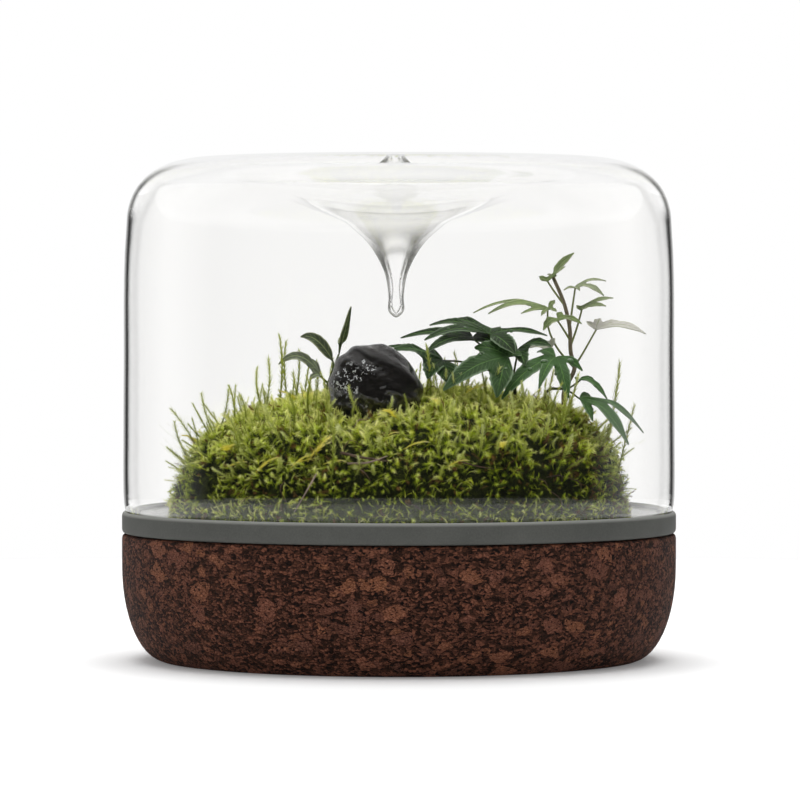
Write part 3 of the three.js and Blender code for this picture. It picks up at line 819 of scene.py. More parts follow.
def turfTree():
    # plants the shapes on the mesh's open ground
    tree = bpy.data.node_groups.new("plantTurf", "GeometryNodeTree")
    addSockets(tree, "INPUT", "Geometry", Geometry=None)
    addSockets(tree, "INPUT", "Collection", Shapes=None)
    addSockets(tree, "INPUT", "Material", Finish=None)
    addSockets(tree, "INPUT", "Float", Least_Gap=0.0018, Density=400000.0, Smallest=0.7, Largest=1.3,
               Upright=0.5, Wander=0.5)
    addSockets(tree, "INPUT", "Int", Seed=1)
    addSockets(tree, "OUTPUT", "Geometry", Geometry=None)
    graph = Graph(tree)
    taken = graph.node("NodeGroupInput")
    growing = graph.node("GeometryNodeInputNamedAttribute", {"Name": "open"}, data_type="FLOAT")[0]
    spots = graph.node("GeometryNodeDistributePointsOnFaces", {
        "Mesh": taken["Geometry"], "Distance Min": taken["Least Gap"], "Density Max": taken["Density"],
        "Density Factor": growing, "Seed": taken["Seed"],
    }, distribute_method="POISSON")

    def chance(low, high, seed, output=1, kind="FLOAT"):
        first = 0 if kind == "FLOAT_VECTOR" else 2
        inputs = {first: low, first + 1: high, "Seed": seed}
        return graph.node("FunctionNodeRandomValue", inputs, data_type=kind)[output]

    up = graph.node("CombineXYZ", {2: 1.0})[0]
    normal = graph.node("Mix", {0: taken["Upright"], 4: spots["Normal"], 5: up}, data_type="VECTOR")[1]
    drift = chance((-1.0, -1.0, -0.4), (1.0, 1.0, 0.4), taken["Seed"], 0, "FLOAT_VECTOR")
    way = graph.vectors("ADD", normal, graph.vectors("SCALE", drift, taken["Wander"]))
    stand = graph.node("FunctionNodeAlignRotationToVector", {"Vector": way}, axis="Z")[0]
    spin = chance(0.0, 6.2832, 7)
    turn = graph.node("FunctionNodeAxisAngleToRotation", {"Axis": (0, 0, 1), "Angle": spin})[0]
    pose = graph.node("FunctionNodeRotateRotation", {
        "Rotation": stand, "Rotate By": turn,
    }, rotation_space="LOCAL")[0]
    # lower down the cushion the shoots are shorter
    height = graph.along(graph.node("GeometryNodeInputPosition")[0], "Z")
    size = graph.maths("MULTIPLY", chance(taken["Smallest"], taken["Largest"], 13),
                       graph.spread(height, 0.066, 0.098, 0.66, 1.0))
    shapes = graph.node("GeometryNodeCollectionInfo", {
        "Collection": taken["Shapes"], "Separate Children": True, "Reset Children": True,
    })[0]
    planted = graph.node("GeometryNodeInstanceOnPoints", {
        "Points": spots["Points"], "Instance": shapes, "Pick Instance": True, "Rotation": pose,
        "Scale": size,
    })[0]
    toned = graph.node("GeometryNodeStoreNamedAttribute", {
        "Geometry": planted, "Name": "tone", "Value": chance(0.0, 1.0, 23),
    }, data_type="FLOAT", domain="INSTANCE")[0]
    whole = graph.node("GeometryNodeRealizeInstances", {"Geometry": toned})[0]
    finished = graph.node("GeometryNodeSetMaterial", {"Geometry": whole, "Material": taken["Finish"]})[0]
    graph.node("NodeGroupOutput", {"Geometry": finished})
    return tree


def grownPiece(name, carrier, tree, values):
    # runs the tree on a copy of the carrier and keeps the result as a plain mesh
    host = newObject(name + "Host", carrier.data)
    modifier = host.modifiers.new("grow", "NODES")
    modifier.node_group = tree
    for item in tree.interface.items_tree:
        if item.item_type == "SOCKET" and item.in_out == "INPUT" and item.name in values:
            modifier[item.identifier] = values[item.name]
    view = bpy.context.evaluated_depsgraph_get()
    mesh = bpy.data.meshes.new_from_object(host.evaluated_get(view), depsgraph=view)
    mesh.name = name
    bpy.data.objects.remove(host)
    if not mesh.materials:
        mesh.materials.append(values["Finish"])
    addPiece(name, mesh)
    print(name, "has", sum(len(face.vertices) - 2 for face in mesh.polygons), "triangles")


def buildMoss():
    ground = buildMossGround()
    tree = turfTree()
    for name, plot in plots.items():
        shapes = bpy.data.collections.new(name + "Shapes")
        for letter, values in zip("ABC", plot["sprigs"]):
            shapes.objects.link(sprig(name + letter, *values))
        finish = leafyMossMaterial(name, moss[plot["tones"]], plot["rustShare"])
        grownPiece(name, ground, tree, {**plot, "Shapes": shapes, "Finish": finish})
    print("moss made")


buildMoss()


# tall moss shoots, one for each of the source's spikes and shorter ones between them
def tallShootPlaces():
    state = moss["tallSeed"]

    def chance():
        # the draws that the source's spikes have
        nonlocal state
        state = (state * 1664525 + 1013904223) % 4294967296
        return state / 4294967296

    line = np.array(smoothLine(moss["outline"], 40))
    lengths = np.concatenate([[0.0], np.cumsum(np.hypot(*np.diff(line, axis=0).T))])
    for i in range(moss["tallCount"]):
        turn = i * goldenAngle + 0.6 * chance()
        share = 0.16 + 0.8 * (1 - math.sqrt((i + 0.5) / moss["tallCount"]))
        radius, z = (float(np.interp(share * lengths[-1], lengths, line[:, k])) for k in (0, 1))
        foot = polar(radius, turn, z)
        steep = smoothStep(radius, 60, 98)
        way = Vector((foot.x, foot.y, 0)).normalized() * 0.8 * steep
        way.x += 0.5 * (chance() - 0.5)
        way.y += 0.5 * (chance() - 0.5)
        way.z = 1.1 - 0.5 * steep
        foot = mossSwell(foot)
        length = 6 + 14 * chance() * chance()
        lean = 3 * (chance() - 0.5)
        if pebbleClearance(foot, 3.0) > 1.0:
            yield foot, way.normalized(), length, lean


# x and y of the foot on the mound, x, y and z of the tip, and how far the middle bows aside
standingShoots = [
    (-54, -6, -55, -10, 146, 1.5), (-50, 0, -51.5, -4, 143, -1.2), (-60, -8, -59.5, -12, 136, 1.0),
    (-47, 4, -45, 0, 139, 1.0), (-62, 2, -64, -4, 132, -1.5), (-74, -10, -76, -14, 124, 1.0),
    (-80, -6, -78, -10, 122, 1.2), (-84, -10, -87, -14, 121, -1.5), (-92, -6, -102, -8, 114, 2.0),
    (-95, -14, -102, -18, 107, -1.5), (-97, -10, -104, -14, 96, 1.0), (-38, 10, -36, 6, 134, 1.0),
    (-68, -30, -71, -36, 119, 1.0), (-30, -62, -28, -66, 118, -1.0), (14, -36, 11, -38, 142, 1.2),
    (22, -40, 20, -42, 131, -0.8), (27, -44, 28, -48, 129, 0.8), (39, -44, 43, -46, 133, 1.0),
    (66, -34, 69, -38, 131, -1.0), (73, -30, 79, -34, 130, 1.2), (-17, -66, -22, -70, 125, -1.5),
    (-6, -66, -2, -70, 119, 1.0), (93, -10, 98, -14, 134, 1.4), (98, -16, 106, -18, 115, -1.2),
    (90, -24, 96, -28, 112, 1.0), (86, -38, 92, -42, 106, 1.0), (-12, 40, -14, 44, 133, 1.0),
    (30, 46, 33, 50, 131, -1.0), (-44, 52, -48, 57, 129, 1.2), (60, 50, 66, 56, 124, -1.0),
    (48, -70, 49, -76, 122, 1.0), (57, -66, 58, -74, 119, -0.8), (38, -74, 36, -80, 114, 0.8),
    (62, -62, 66, -68, 112, 1.0), (24, -70, 23, -78, 118, -0.8), (70, -52, 72, -60, 122, 0.8),
    (12, -78, 12, -86, 112, 0.8), (-29, -95, -27, -101, 111, 0.6), (-52, -83, -52, -90, 93, 0.5),
    (-20, -95, -19, -101, 91, 0.5), (17, -92, 19, -97, 105, -0.5), (35, -86, 35, -92, 108, 0.4),
    (-70, -62, -74, -70, 110, 0.8), (52, -80, 54, -86, 101, 0.4), (-8, -90, -8, -97, 103, -0.4),
    (72, -62, 76, -70, 103, 0.5), (-46, -62, -48, -70, 122, 1.0), (-40, -50, -39, -56, 128, -0.8),
    (-58, -54, -60, -62, 116, 0.8), (-24, -80, -25, -90, 108, -0.8), (2, 70, 0, 78, 122, 1.0),
    (-70, 40, -76, 44, 117, 1.0), (80, 34, 87, 38, 114, -1.0),
]


def onMound(x, y):
    outline = list(reversed(moss["outline"]))
    z = float(np.interp(math.hypot(x, y), [place[0] for place in outline], [place[1] for place in outline]))
    return Vector((x, y, z))


def shootMaterial(name, heightShare, toneShare, scales, stops):
    look = Finish(name, {"Roughness": 0.6, "Specular IOR Level": 0.15})
    light = look.chain(
        "ADD", look.maths("MULTIPLY", look.mark("tipShare"), heightShare),
        look.maths("MULTIPLY", look.mark("tone"), toneShare),
        look.maths("MULTIPLY", look.grain(look.place, *scales, 0.4), 0.3),
    )
    look.feed("Base Color", look.ramp(light, *stops))
    return look.material


def addSprig(heap, kind, tone, move):
    heights = [mark.value for mark in kind.data.attributes["tipShare"].data]
    points = [move(corner.co / mm) for corner in kind.data.vertices]
    heap.add(points, [tuple(face.vertices) for face in kind.data.polygons], tipShare=heights, tone=tone)


def buildTallShoots():
    material = shootMaterial("mossShoot", 0.55, 0.3, (90.0, 700.0), [
        (0.1, "#4d5418"), (0.4, "#97a43a"), (0.7, "#c4cc66"), (1.0, "#e8ecb0"),
    ])
    kinds = [
        sprig("shootA", 10.0, 30, 1.3, 0.42, 0.6, 1.05, 3, 31, 0.22),
        sprig("shootB", 10.0, 26, 1.4, 0.42, 1.2, 1.15, 3, 32, 0.2),
        sprig("shootC", 10.0, 32, 1.2, 0.4, -0.8, 1.0, 3, 33, 0.24),
    ]
    rng = random.Random(5)
    places = [(foot, way, length + 1.0, lean, 0.85) for foot, way, length, lean in tallShootPlaces()]
    for foot, way, length, *_ in list(places):
        for _ in range(2):                        # shorter ones round each tall one
            near = foot + Vector((rng.uniform(-9, 9), rng.uniform(-9, 9), 0))
            if math.hypot(near.x, near.y) > 98 or pebbleClearance(near, 3.0) < 1.0:
                continue
            tilt = (way + Vector((rng.uniform(-0.4, 0.4), rng.uniform(-0.4, 0.4), 0.2))).normalized()
            root = mossSwell(onMound(near.x, near.y))
            places.append((root, tilt, length * rng.uniform(0.4, 0.8), rng.uniform(-1, 1), 0.85))
    for x, y, *tip, lean in standingShoots:
        foot = onMound(x, y)
        reach = Vector(tip) - foot
        places.append((foot, reach.normalized(), reach.length, lean, 1.15))
    heap = Heap()
    for foot, way, length, lean, width in places:
        kind = kinds[rng.randrange(3)]
        spin = Matrix.Rotation(rng.uniform(*anyTurn), 3, "Z")
        stand = standing(way)
        wide = width + 0.015 * length

        def move(point):
            local = spin @ Vector((point.x * wide, point.y * wide, point.z * (length + 3.0) / 10.0 - 3.0))
            local.x += lean * 4 * (local.z / length) * (1 - local.z / length)
            return foot + stand @ local

        addSprig(heap, kind, rng.random(), move)
    heap.piece("mossShoots", "moss", material, smooth=False)
    print("tall shoots made:", len(places))


buildTallShoots()


# ferny yellow fronds; the first ones where the source has them
fronds = {
    "placed": [
        ((-48, -84), (0.75, -0.45, 0.5), 15, 0.9), ((-47, -83), (0.8, -0.5, 0.15), 16, 0.8),
        ((-40, -86), (0.6, -0.45, 0.75), 14, 1.0), ((-36, -86), (0.35, -0.5, 0.85), 13, 0.7),
        ((-33, -90), (0.7, -0.6, 0.1), 12, 0.9), ((-62, -76), (0.6, -0.5, 0.6), 14, 0.6),
        ((2, -92), (0.8, -0.5, 0.3), 12, 0.8), ((-76, -60), (0.5, -0.7, 0.2), 13, 0.8),
    ],
    "others": 26,
    "seed": 77,
}


def buildFronds():
    kinds = [sprig("ferny%d" % k, 12.0, 20, 2.8, 0.42, 5.0, 1.1, 2, 60 + k, 0.16, 6, 0.25)
             for k in range(3)]
    rng = random.Random(fronds["seed"])
    places = [(onMound(x, y), Vector(way).normalized(), length, tone)
              for (x, y), way, length, tone in fronds["placed"]]
    for _ in range(fronds["others"]):
        turn, radius = rng.uniform(0, 2 * math.pi), rng.uniform(40, 99)
        foot = onMound(radius * math.cos(turn), radius * math.sin(turn))
        side = polar(1.0, turn + 1.2) * rng.choice((-1, 1))
        way = Vector((foot.x / 100, foot.y / 100, 0.5)) + side
        if pebbleClearance(foot, 8.0) > 1.0:
            places.append((foot, way.normalized(), rng.uniform(8, 14), rng.random()))
    heap = Heap()
    for foot, way, length, tone in places:
        root, stand = mossSwell(foot), standing(way)
        addSprig(heap, kinds[rng.randrange(3)], tone, lambda point: root + stand @ (point * (length / 12)))
    material = shootMaterial("fernyMoss", 0.45, 0.35, (120.0, 900.0), [
        (0.1, "#a09a1a"), (0.35, "#e2d83c"), (0.65, "#fbf07a"), (1.0, "#fff8c0"),
    ])
    heap.piece("mossFerny", "moss", material, smooth=False)
    print("ferny fronds made:", len(places))


buildFronds()


# dead needles and twigs lying in the moss; the first ones where the source has them
litter = {
    "placed": [
        ([(-25, -91, 96), (-16, -99, 94.3), (-4, -97, 92.5)], 0.75, 0.25),
        ([(-22, -94, 91.5), (-13, -100.5, 92.2), (-5, -97, 94.8)], 0.5, 0.95),
        ([(-20, -93, 90), (-15, -99, 88), (-12, -98, 84)], 0.4, 0.6),
        ([(-35.5, -90, 87), (-40, -98.5, 79), (-45, -95, 70.5)], 0.42, 1.0),
        ([(24, -92, 93), (33, -96, 90.5), (41, -88, 89)], 0.45, 0.35),
    ],
    "strewn": 34,
    "seed": 41,
    "lift": 3.0,
    "tones": [(0.0, "#2c1c12"), (0.5, "#5d4126"), (0.8, "#8f7a5a"), (1.0, "#c3aaa0")],
    "streaks": [(0.3, (0.01, 0.007, 0.005)), (0.7, (0.3, 0.22, 0.17))],
}


def buildLitter():
    look = Finish("deadNeedles", {"Roughness": 0.6, "Specular IOR Level": 0.3})
    cloud = look.grain(look.place, 260.0, 1500.0, 0.5)
    color = look.ramp(look.mark("tone"), *litter["tones"])
    look.feed("Base Color", look.mix(0.35, color, look.ramp(cloud, *litter["streaks"])))
    look.bump(cloud, 0.0003, 0.7)
    rng = random.Random(litter["seed"])
    lying = list(litter["placed"])
    line = np.array(smoothLine(moss["outline"], 20))
    for _ in range(litter["strewn"]):
        radius, z = line[int((0.1 + 0.8 * rng.random()) * (len(line) - 1))]
        turn, length = rng.uniform(0, 2 * math.pi), rng.uniform(7, 15)
        foot = mossSwell(polar(radius, turn, z))
        outward = Vector((foot.x * 0.6, foot.y * 0.6, foot.z - 60)).normalized()
        along = outward.orthogonal().normalized()
        along.rotate(Matrix.Rotation(rng.uniform(*anyTurn), 3, outward))
        if pebbleClearance(foot, 8.0) > 1.0:
            ends = [foot + along * length / 2 * hand - outward * 1.5 for hand in (-1, 1)]
            route = [ends[0], foot + outward * litter["lift"], ends[1]]
            lying.append((route, rng.uniform(0.22, 0.4), rng.random() * 0.8))
    heap = Heap()
    for stops, radius, tone in lying:
        heap.add(*tube(curveThrough(stops, 6), radius, 6, 0.5), tone=tone)
    heap.piece("mossLitter", "moss", look.material)
    print("litter laid:", len(lying))


buildLitter()


# ivy: a lobe is (x, y, z of its tip from the leaf's middle, width, height of its arch)
ivy = {
    "palmRadius": 1.3,
    "broader": 1.16,              # how much wider the lobes are than in the list
    "teeth": 0.09,
    "stemRoot": 72.0,             # where the stems stand in the soil
    "stalkRadius": 0.5,
    "fold": 0.14,
    "thickness": 0.5,
    "innerRows": 4,
    "outerRows": 13,
    "columns": 3,                 # on each side of a lobe's rib
    "wave": 0.16,
    "veinGap": 1.25,              # half the space between side veins
    "veinSlant": 1.15,
}

tallStem = {
    "stem": [(74.5, 0, 112), (74.7, 0, 121), (79.3, 0, 131), (77.6, 0, 138), (77.1, 0, 149),
            (74.5, 0, 160.5), (69.5, 0, 173)],
    "radius": 1.1,
    "leaves": [
        {"at": (67, -2, 170.5), "facing": (-0.5, -0.7, 0.45), "from": 0.84, "via": [(70, -1, 166)],
         "lobes": [(12, -4, 14, 4, 1.4), (8.4, 7, 7.5, 2, 1), (-3.8, 1, 2.6, 2.6, 0.2)]},
        {"at": (79.5, 2, 168), "facing": (-0.1, -0.35, 0.95), "from": 0.72, "via": [(78.3, 1, 158)],
         "lobes": [(-5, 1, -1.5, 2.2, 0.6), (14.5, 5, 2.8, 2.6, 2), (13, -6, -4.3, 3.8, 2.6),
                   (2, -6, -1.6, 2, 0.5)]},
        {"at": (82, -2, 157), "facing": (-0.35, -0.5, 0.8), "from": 0.61, "via": [(80.3, -1, 149)],
         "lobes": [(15, 3, 5.8, 3.2, 1.8), (11.3, -4, 2, 2.8, 1.6), (2.5, -5, 1.2, 2, 0.4),
                   (-2, 0, 2.3, 2.2, 0.2)]},
        {"at": (88.5, -5, 148.2), "facing": (0.15, -0.55, 0.8), "from": 0.44, "via": [(82.5, -3, 137)],
         "lobes": [(22.5, -6, -1.8, 4.6, 3.2), (2.6, 9, 5, 3.6, 0.6), (-4, 1, 3.8, 3.4, 0.4),
                   (13, 7, 3.4, 4, 1)]},
        {"at": (71.3, -6, 153.3), "facing": (-0.15, -0.6, 0.8), "from": 0.64, "via": [(73.7, -4, 149)],
         "lobes": [(-6.5, -4, -5.4, 4.6, 1.6), (11, -2, -2.5, 3, 1.6), (2, 4, 3, 3, 0.2)]},
        {"at": (67.3, -2, 158.2), "facing": (0.1, -0.5, 0.86), "from": 0.42,
         "via": [(71.5, 1, 140), (67.5, 0, 149)],
         "lobes": [(-34, 6, -2.6, 2.6, 4.4), (-27.4, -6, -2.9, 4, 3.8), (-12.6, -9, -2.6, 2.4, 0.8),
                   (-3.5, -8, -3.6, 2, 0.4), (3.2, 3, 3.6, 2.4, 0.2), (3.8, -3, -1.6, 2.2, 0.2)]},
        {"at": (69.5, -0.5, 172.6), "facing": (-0.3, -0.8, 0.5), "from": 0.96, "via": [],
         "lobes": [(-2.6, -1, 1.6, 1.4, 0.4), (1.8, -1.6, 1, 1.4, 0.2)]},
        {"at": (68, -10, 139.5), "facing": (-0.2, -0.7, 0.66), "from": 0.3, "via": [(73, -5, 131)],
         "lobes": [(-10, -4, 0.6, 4, 1.8), (2, -2, 5, 3, 0.6), (-4, 3, 3.6, 3, 0.6)]},
    ],
}

middleSpray = {
    "stem": [(52, -14, 110), (52, -14, 121), (50.5, -16, 128)],
    "radius": 1.0,
    "leaves": [
        {"at": (40.5, -20, 146.2), "facing": (-0.12, -0.4, 0.9), "from": 0.86, "via": [(46, -17, 136)],
         "lobes": [(-27, 2, 4, 6.6, 3.4), (-29.4, -17, -2.4, 8, 3.6), (-18, 14, 6, 7.5, 2.6),
                   (11, -18, -8.4, 8.4, 1.8), (2, 16, 1, 7.5, 2), (26, 0, -0.6, 4.4, 2.2)]},
        {"at": (48.6, -33, 136.4), "facing": (-0.1, -0.72, 0.68), "from": 0.76, "via": [(50, -23, 130)],
         "lobes": [(-29.5, -20, -14.6, 10, 3.4), (-5.6, -20, -17.6, 10.4, 2.6), (-15, 6, 4, 9, 1.6),
                   (6, 6, 1.5, 5, 0.6)]},
        {"at": (70, -23, 136.2), "facing": (0, -0.66, 0.75), "from": 0.74, "via": [(60, -18, 130)],
         "lobes": [(-25, -20, -18.6, 7, 4), (-8.5, -25, -13.6, 4.6, 3), (5, -17, -18, 6, 2.6),
                   (11.8, -4, -6, 4.4, 2), (-8, 13, 2, 5, 1.6)]},
        {"at": (19.6, -24, 135), "facing": (-0.1, -0.5, 0.86), "from": 0.78,
         "via": [(41, -18, 130), (29, -21, 134)],
         "lobes": [(-24.5, 7, 6, 6, 1.6), (-23, -8, 4.4, 8, 2.4), (-7, -18, -8, 9.5, 2),
                   (2.5, -20, -11, 9, 2.4), (-10, 14, 3, 6, 1.4)]},
        {"at": (33, -15, 145), "facing": (-0.1, -0.5, 0.86), "from": 0.82, "via": [(45, -15, 134)],
         "lobes": [(-32.5, 0, -0.5, 5.5, 2.6), (-21, -15, -6.5, 7, 2.4), (16, -13, -7, 7.5, 1.8),
                   (-10, 13, 2, 6, 2), (15, 9, 1, 5, 2)]},
        {"at": (53, -19, 139.5), "facing": (-0.05, -0.5, 0.86), "from": 0.9, "via": [],
         "lobes": [(-20, -9, -5, 8, 2.2), (15, -5, 1.5, 6, 2.4), (3, -14, -7, 6, 1.4), (-6, 11, 2, 5, 1)]},
    ],
}

lowSpray = {
    "stem": [(66, -8, 108), (66, -8, 120), (69.5, -11, 122.5)],
    "radius": 0.8,
    "leaves": [
        {"at": (80.6, -24, 118.2), "facing": (0.5, -0.45, 0.74), "from": 0.96, "via": [(74.5, -17, 122)],
         "lobes": [(20.6, -20, -20.4, 8.4, 5.4), (28, -7, -15.6, 4.6, 5.6), (5, -17, -10, 5, 2),
                   (7, 12, -1.6, 4, 1.6)]},
        {"at": (80.8, -17, 126.4), "facing": (0.3, -0.5, 0.8), "from": 0.9, "via": [(76, -14.5, 122.5)],
         "lobes": [(12.2, -6, -9, 3.6, 3), (8.4, 4, -2.8, 2.6, 2), (-2, -4, 0.4, 2.4, 0.2)]},
    ],
}

leftSprig = {
    "stem": [(-32.6, 2, 112), (-32.6, 2, 122), (-29.5, 1, 131)],
    "radius": 0.7,
    "leaves": [
        {"at": (-29.6, 1, 133.5), "facing": (0.3, -0.9, 0.35), "from": 0.97, "via": [],
         "lobes": [(-15, -5, 11.4, 5, 4.2)]},
        {"at": (-27.2, 1, 136.5), "facing": (0.8, -0.55, 0.1), "from": 0.98, "via": [],
         "lobes": [(5.6, -3, 22.6, 4.6, 0.8), (0, 5, 8, 2.4, 0.4)]},
        {"at": (-35.4, -3, 128), "facing": (0.2, -0.75, 0.62), "from": 0.76, "via": [],
         "lobes": [(-19, -4, 4.6, 4.4, 6), (-5, -8, -2, 2.8, 1), (-4, 6, 7, 3, 0.6)]},
    ],
}


class Rib:
    # the rib of a lobe, arched upwards from the leaf's middle to the lobe's tip
    def __init__(self, middle, lobe):
        dx, dy, dz, width, arch = lobe
        self.width = width * ivy["broader"]
        self.start = middle
        self.tip = middle + Vector((dx, dy, dz))
        self.crown = (self.start + self.tip) / 2 + Vector((0, 0, 2 * arch))
        self.length = (self.tip - middle).length

    def at(self, t):
        return self.start * (1 - t) ** 2 + self.crown * 2 * t * (1 - t) + self.tip * t * t

    def ahead(self, t):
        return ((self.crown - self.start) * (1 - t) + (self.tip - self.crown) * t).normalized()

    def edge(self, facing, t, hand, widest=1e9, share=1.0):
        swell = math.sin(math.pi * (0.2 + 0.72 * t))
        if t > 0.72:
            swell *= 1 - 0.62 * ((t - 0.72) / 0.28) ** 1.5
        notched = 1 + ivy["teeth"] * math.sin(self.length * 2.1 * t) * smoothStep(t, 0.25, 0.4)
        half = min(self.width / 2 * swell * notched, widest) * share
        forward = self.ahead(t)
        side = facing.cross(forward).normalized()
        up = forward.cross(side)
        wave = ivy["wave"] * share * share * math.sin(9 * t + 2 * hand) * min(half, 2.0)
        return self.at(t) + side * half * hand + up * (ivy["fold"] * half + wave)


def partingOf(one, other):
    angle = one.ahead(0.3).angle(other.ahead(0.3))
    meeting = (one.width + other.width) / (4 * math.sin(min(angle, math.pi / 2) / 2))
    return max(ivy["palmRadius"], min(meeting, 0.55 * min(one.length, other.length)))


def ribsInTurn(middle, lobes, face):
    across = (Vector((1, 0, 0)) - face * face.x).normalized()
    beside = face.cross(across)

    def turnOf(lobe):
        reach = Vector(lobe[:3])
        return math.atan2(reach.dot(beside), reach.dot(across))

    ordered = sorted(lobes, key=turnOf)
    spaces = []
    for i, lobe in enumerate(ordered):
        before = turnOf(ordered[-1]) - 2 * math.pi if i == 0 else turnOf(ordered[i - 1])
        spaces.append(turnOf(lobe) - before)
    first = spaces.index(max(spaces))
    return [Rib(middle, lobe) for lobe in ordered[first:] + ordered[:first]]


def fineBlade(middle, face, lobes):
    # one thin sheet: rows along each lobe, columns across it; the sheets of neighbours share their border
    ribs = ribsInTurn(middle, lobes, face)
    partings = [partingOf(one, other) for one, other in zip(ribs, ribs[1:])]
    notch = 0.6 * ivy["palmRadius"]
    palm = ivy["palmRadius"]
    corners = [ribs[0].edge(face, palm / ribs[0].length, -1, notch)]
    for i, parting in enumerate(partings):
        near = ribs[i].edge(face, parting / ribs[i].length, 1)
        beyond = ribs[i + 1].edge(face, parting / ribs[i + 1].length, -1)
        corners.append((near + beyond) / 2)
    corners.append(ribs[-1].edge(face, palm / ribs[-1].length, 1, notch))

    points, faces, marks = [], [], []
    columns = ivy["columns"]
    shares = [k / columns for k in range(-columns, columns + 1)]
    for i, rib in enumerate(ribs):
        joins = [partings[j] for j in (i - 1, i) if 0 <= j < len(partings)]
        joinedFor = max(joins or [palm]) / rib.length
        rows = []
        for row in range(1, ivy["innerRows"] + 1):
            t = row / ivy["innerRows"]
            spine = rib.at(joinedFor * t)
            sides = (middle.lerp(corners[i], t), middle.lerp(corners[i + 1], t))
            rows.append((joinedFor * t, [
                spine.lerp(sides[0 if share < 0 else 1], abs(share)) for share in shares
            ]))
        for row in range(1, ivy["outerRows"] + 1):
            along = joinedFor + (1 - joinedFor) * 0.97 * row / ivy["outerRows"]
            rows.append((along, [
                rib.edge(face, along, -1 if share < 0 else 1, share=abs(share)) for share in shares
            ]))
        start = len(points)
        points.append(middle)
        marks.append((0.0, 0.0, 0.0))
        for along, row in rows:
            for share, point in zip(shares, row):
                points.append(point)
                marks.append((along * rib.length, share * max(rib.width / 2, 1.0),
                              abs(share) if along > joinedFor else 0.0))
        points.append(rib.tip)
        marks.append((rib.length, 0.0, 1.0))
        wide = len(shares)
        base = start + 1
        for k in range(wide - 1):
            faces.append((start, base + k + 1, base + k))
        for row in range(len(rows) - 1):
            faces += joined(base + row * wide, base + (row + 1) * wide, wide, closed=False)
        last = base + (len(rows) - 1) * wide
        for k in range(wide - 1):
            faces.append((last + k, last + k + 1, len(points) - 1))
    return points, faces, marks


def leafMaterial(name, look):
    finish = Finish(name, {"Specular IOR Level": 0.14, "Coat Weight": look["coat"], "Coat Roughness": 0.25})
    maths, mix, ramp = finish.maths, finish.mix, finish.ramp
    aside = maths("ABSOLUTE", finish.mark("across"))
    midVein = ramp(aside, (0.0, 1), (0.22, 0.5), (0.36, 0))
    slant = maths("SUBTRACT", finish.mark("along"), maths("MULTIPLY", aside, ivy["veinSlant"]))
    sideVein = ramp(maths("PINGPONG", slant, ivy["veinGap"]), (0.0, 1), (0.16, 0.4), (0.3, 0))
    cloud = finish.grain(finish.place, 160.0, 900.0, 0.4)
    green = mix(finish.mark("tone"), ramp(cloud, (0.3, look["dark"]), (0.7, look["light"])), look["other"])
    veins = mix(1.0, maths("MULTIPLY", midVein, 0.8), maths("MULTIPLY", sideVein, 0.4), "LIGHTEN")
    # pale along the border: the leaf's own light margin and a painted highlight where the edges catch the
    # light
    border = ramp(finish.mark("edge"), (0.72, 0), (1.0, 0.75))
    finish.feed("Base Color", mix(border, mix(veins, green, look["vein"]), look["edge"]))
    finish.feed("Roughness", maths("MULTIPLY_ADD", cloud, 0.2, look["roughness"] - 0.1))
    sunk = mix(1.0, midVein, maths("MULTIPLY", sideVein, 0.6), "LIGHTEN")
    finish.bump(mix(0.2, maths("SUBTRACT", 1.0, sunk), cloud), 0.0005, 0.8)
    return finish.material


def stemMaterial(name, look):
    finish = Finish(name, {"Roughness": 0.6, "Specular IOR Level": 0.2})
    cloud = finish.grain(finish.place, 200.0, 1200.0, 0.5)
    low, high, stalk = look["stems"]
    isStalk = finish.maths("MULTIPLY", finish.mark("stalk"), 0.8)
    finish.feed("Base Color", finish.mix(isStalk, finish.ramp(cloud, (0.3, low), (0.7, high)), stalk))
    finish.bump(cloud, 0.0003, 0.6)
    return finish.material


def buildIvy(name, plant, node, slot, look, tones):
    x, y = plant["stem"][0][:2]
    main = curveThrough([(x, y, ivy["stemRoot"]), *plant["stem"]], 8)
    blades, stems = Heap(), Heap()
    stems.add(*tube(main, plant["radius"], 12, 0.25), stalk=0.0)
    for leaf, tone in zip(plant["leaves"], tones):
        middle = Vector(leaf["at"])
        face = Vector(leaf["facing"]).normalized()
        start = main[min(len(main) - 1, round(leaf["from"] * (len(main) - 1)))]
        way = [start, *[Vector(stop) for stop in leaf["via"]]]
        ahead = middle - way[-1]
        ahead = (ahead - face * ahead.dot(face)).normalized()
        end = middle + ahead * 0.6 - face * 0.3 * ivy["stalkRadius"]
        stems.add(*tube(curveThrough([*way, end], 8), ivy["stalkRadius"] * 1.05, 8, 0.25), stalk=1.0)
        points, faces, marks = fineBlade(middle, face, leaf["lobes"])
        along, across, edge = (list(values) for values in zip(*marks))
        blades.add(points, faces, along=along, across=across, edge=edge, tone=tone)
    piece = blades.piece(name + "Blades", slot, leafMaterial(name + "Leaf", look), [node])
    shape = bmesh.new()
    shape.from_mesh(piece.data)
    bmesh.ops.remove_doubles(shape, verts=shape.verts, dist=1e-5)
    bmesh.ops.recalc_face_normals(shape, faces=shape.faces)
    shape.to_mesh(piece.data)
    shape.free()
    piece.data.shade_smooth()
    sheet = piece.modifiers.new("thickness", "SOLIDIFY")
    sheet.thickness = ivy["thickness"] * mm
    sheet.offset = 0.0
    sheet.use_rim = True
    finer = piece.modifiers.new("round", "SUBSURF")
    finer.levels = finer.render_levels = 1
    stems.piece(name + "Stems", slot, stemMaterial(name + "Stem", look), [node])
    print(name, "made with", len(plant["leaves"]), "leaves")


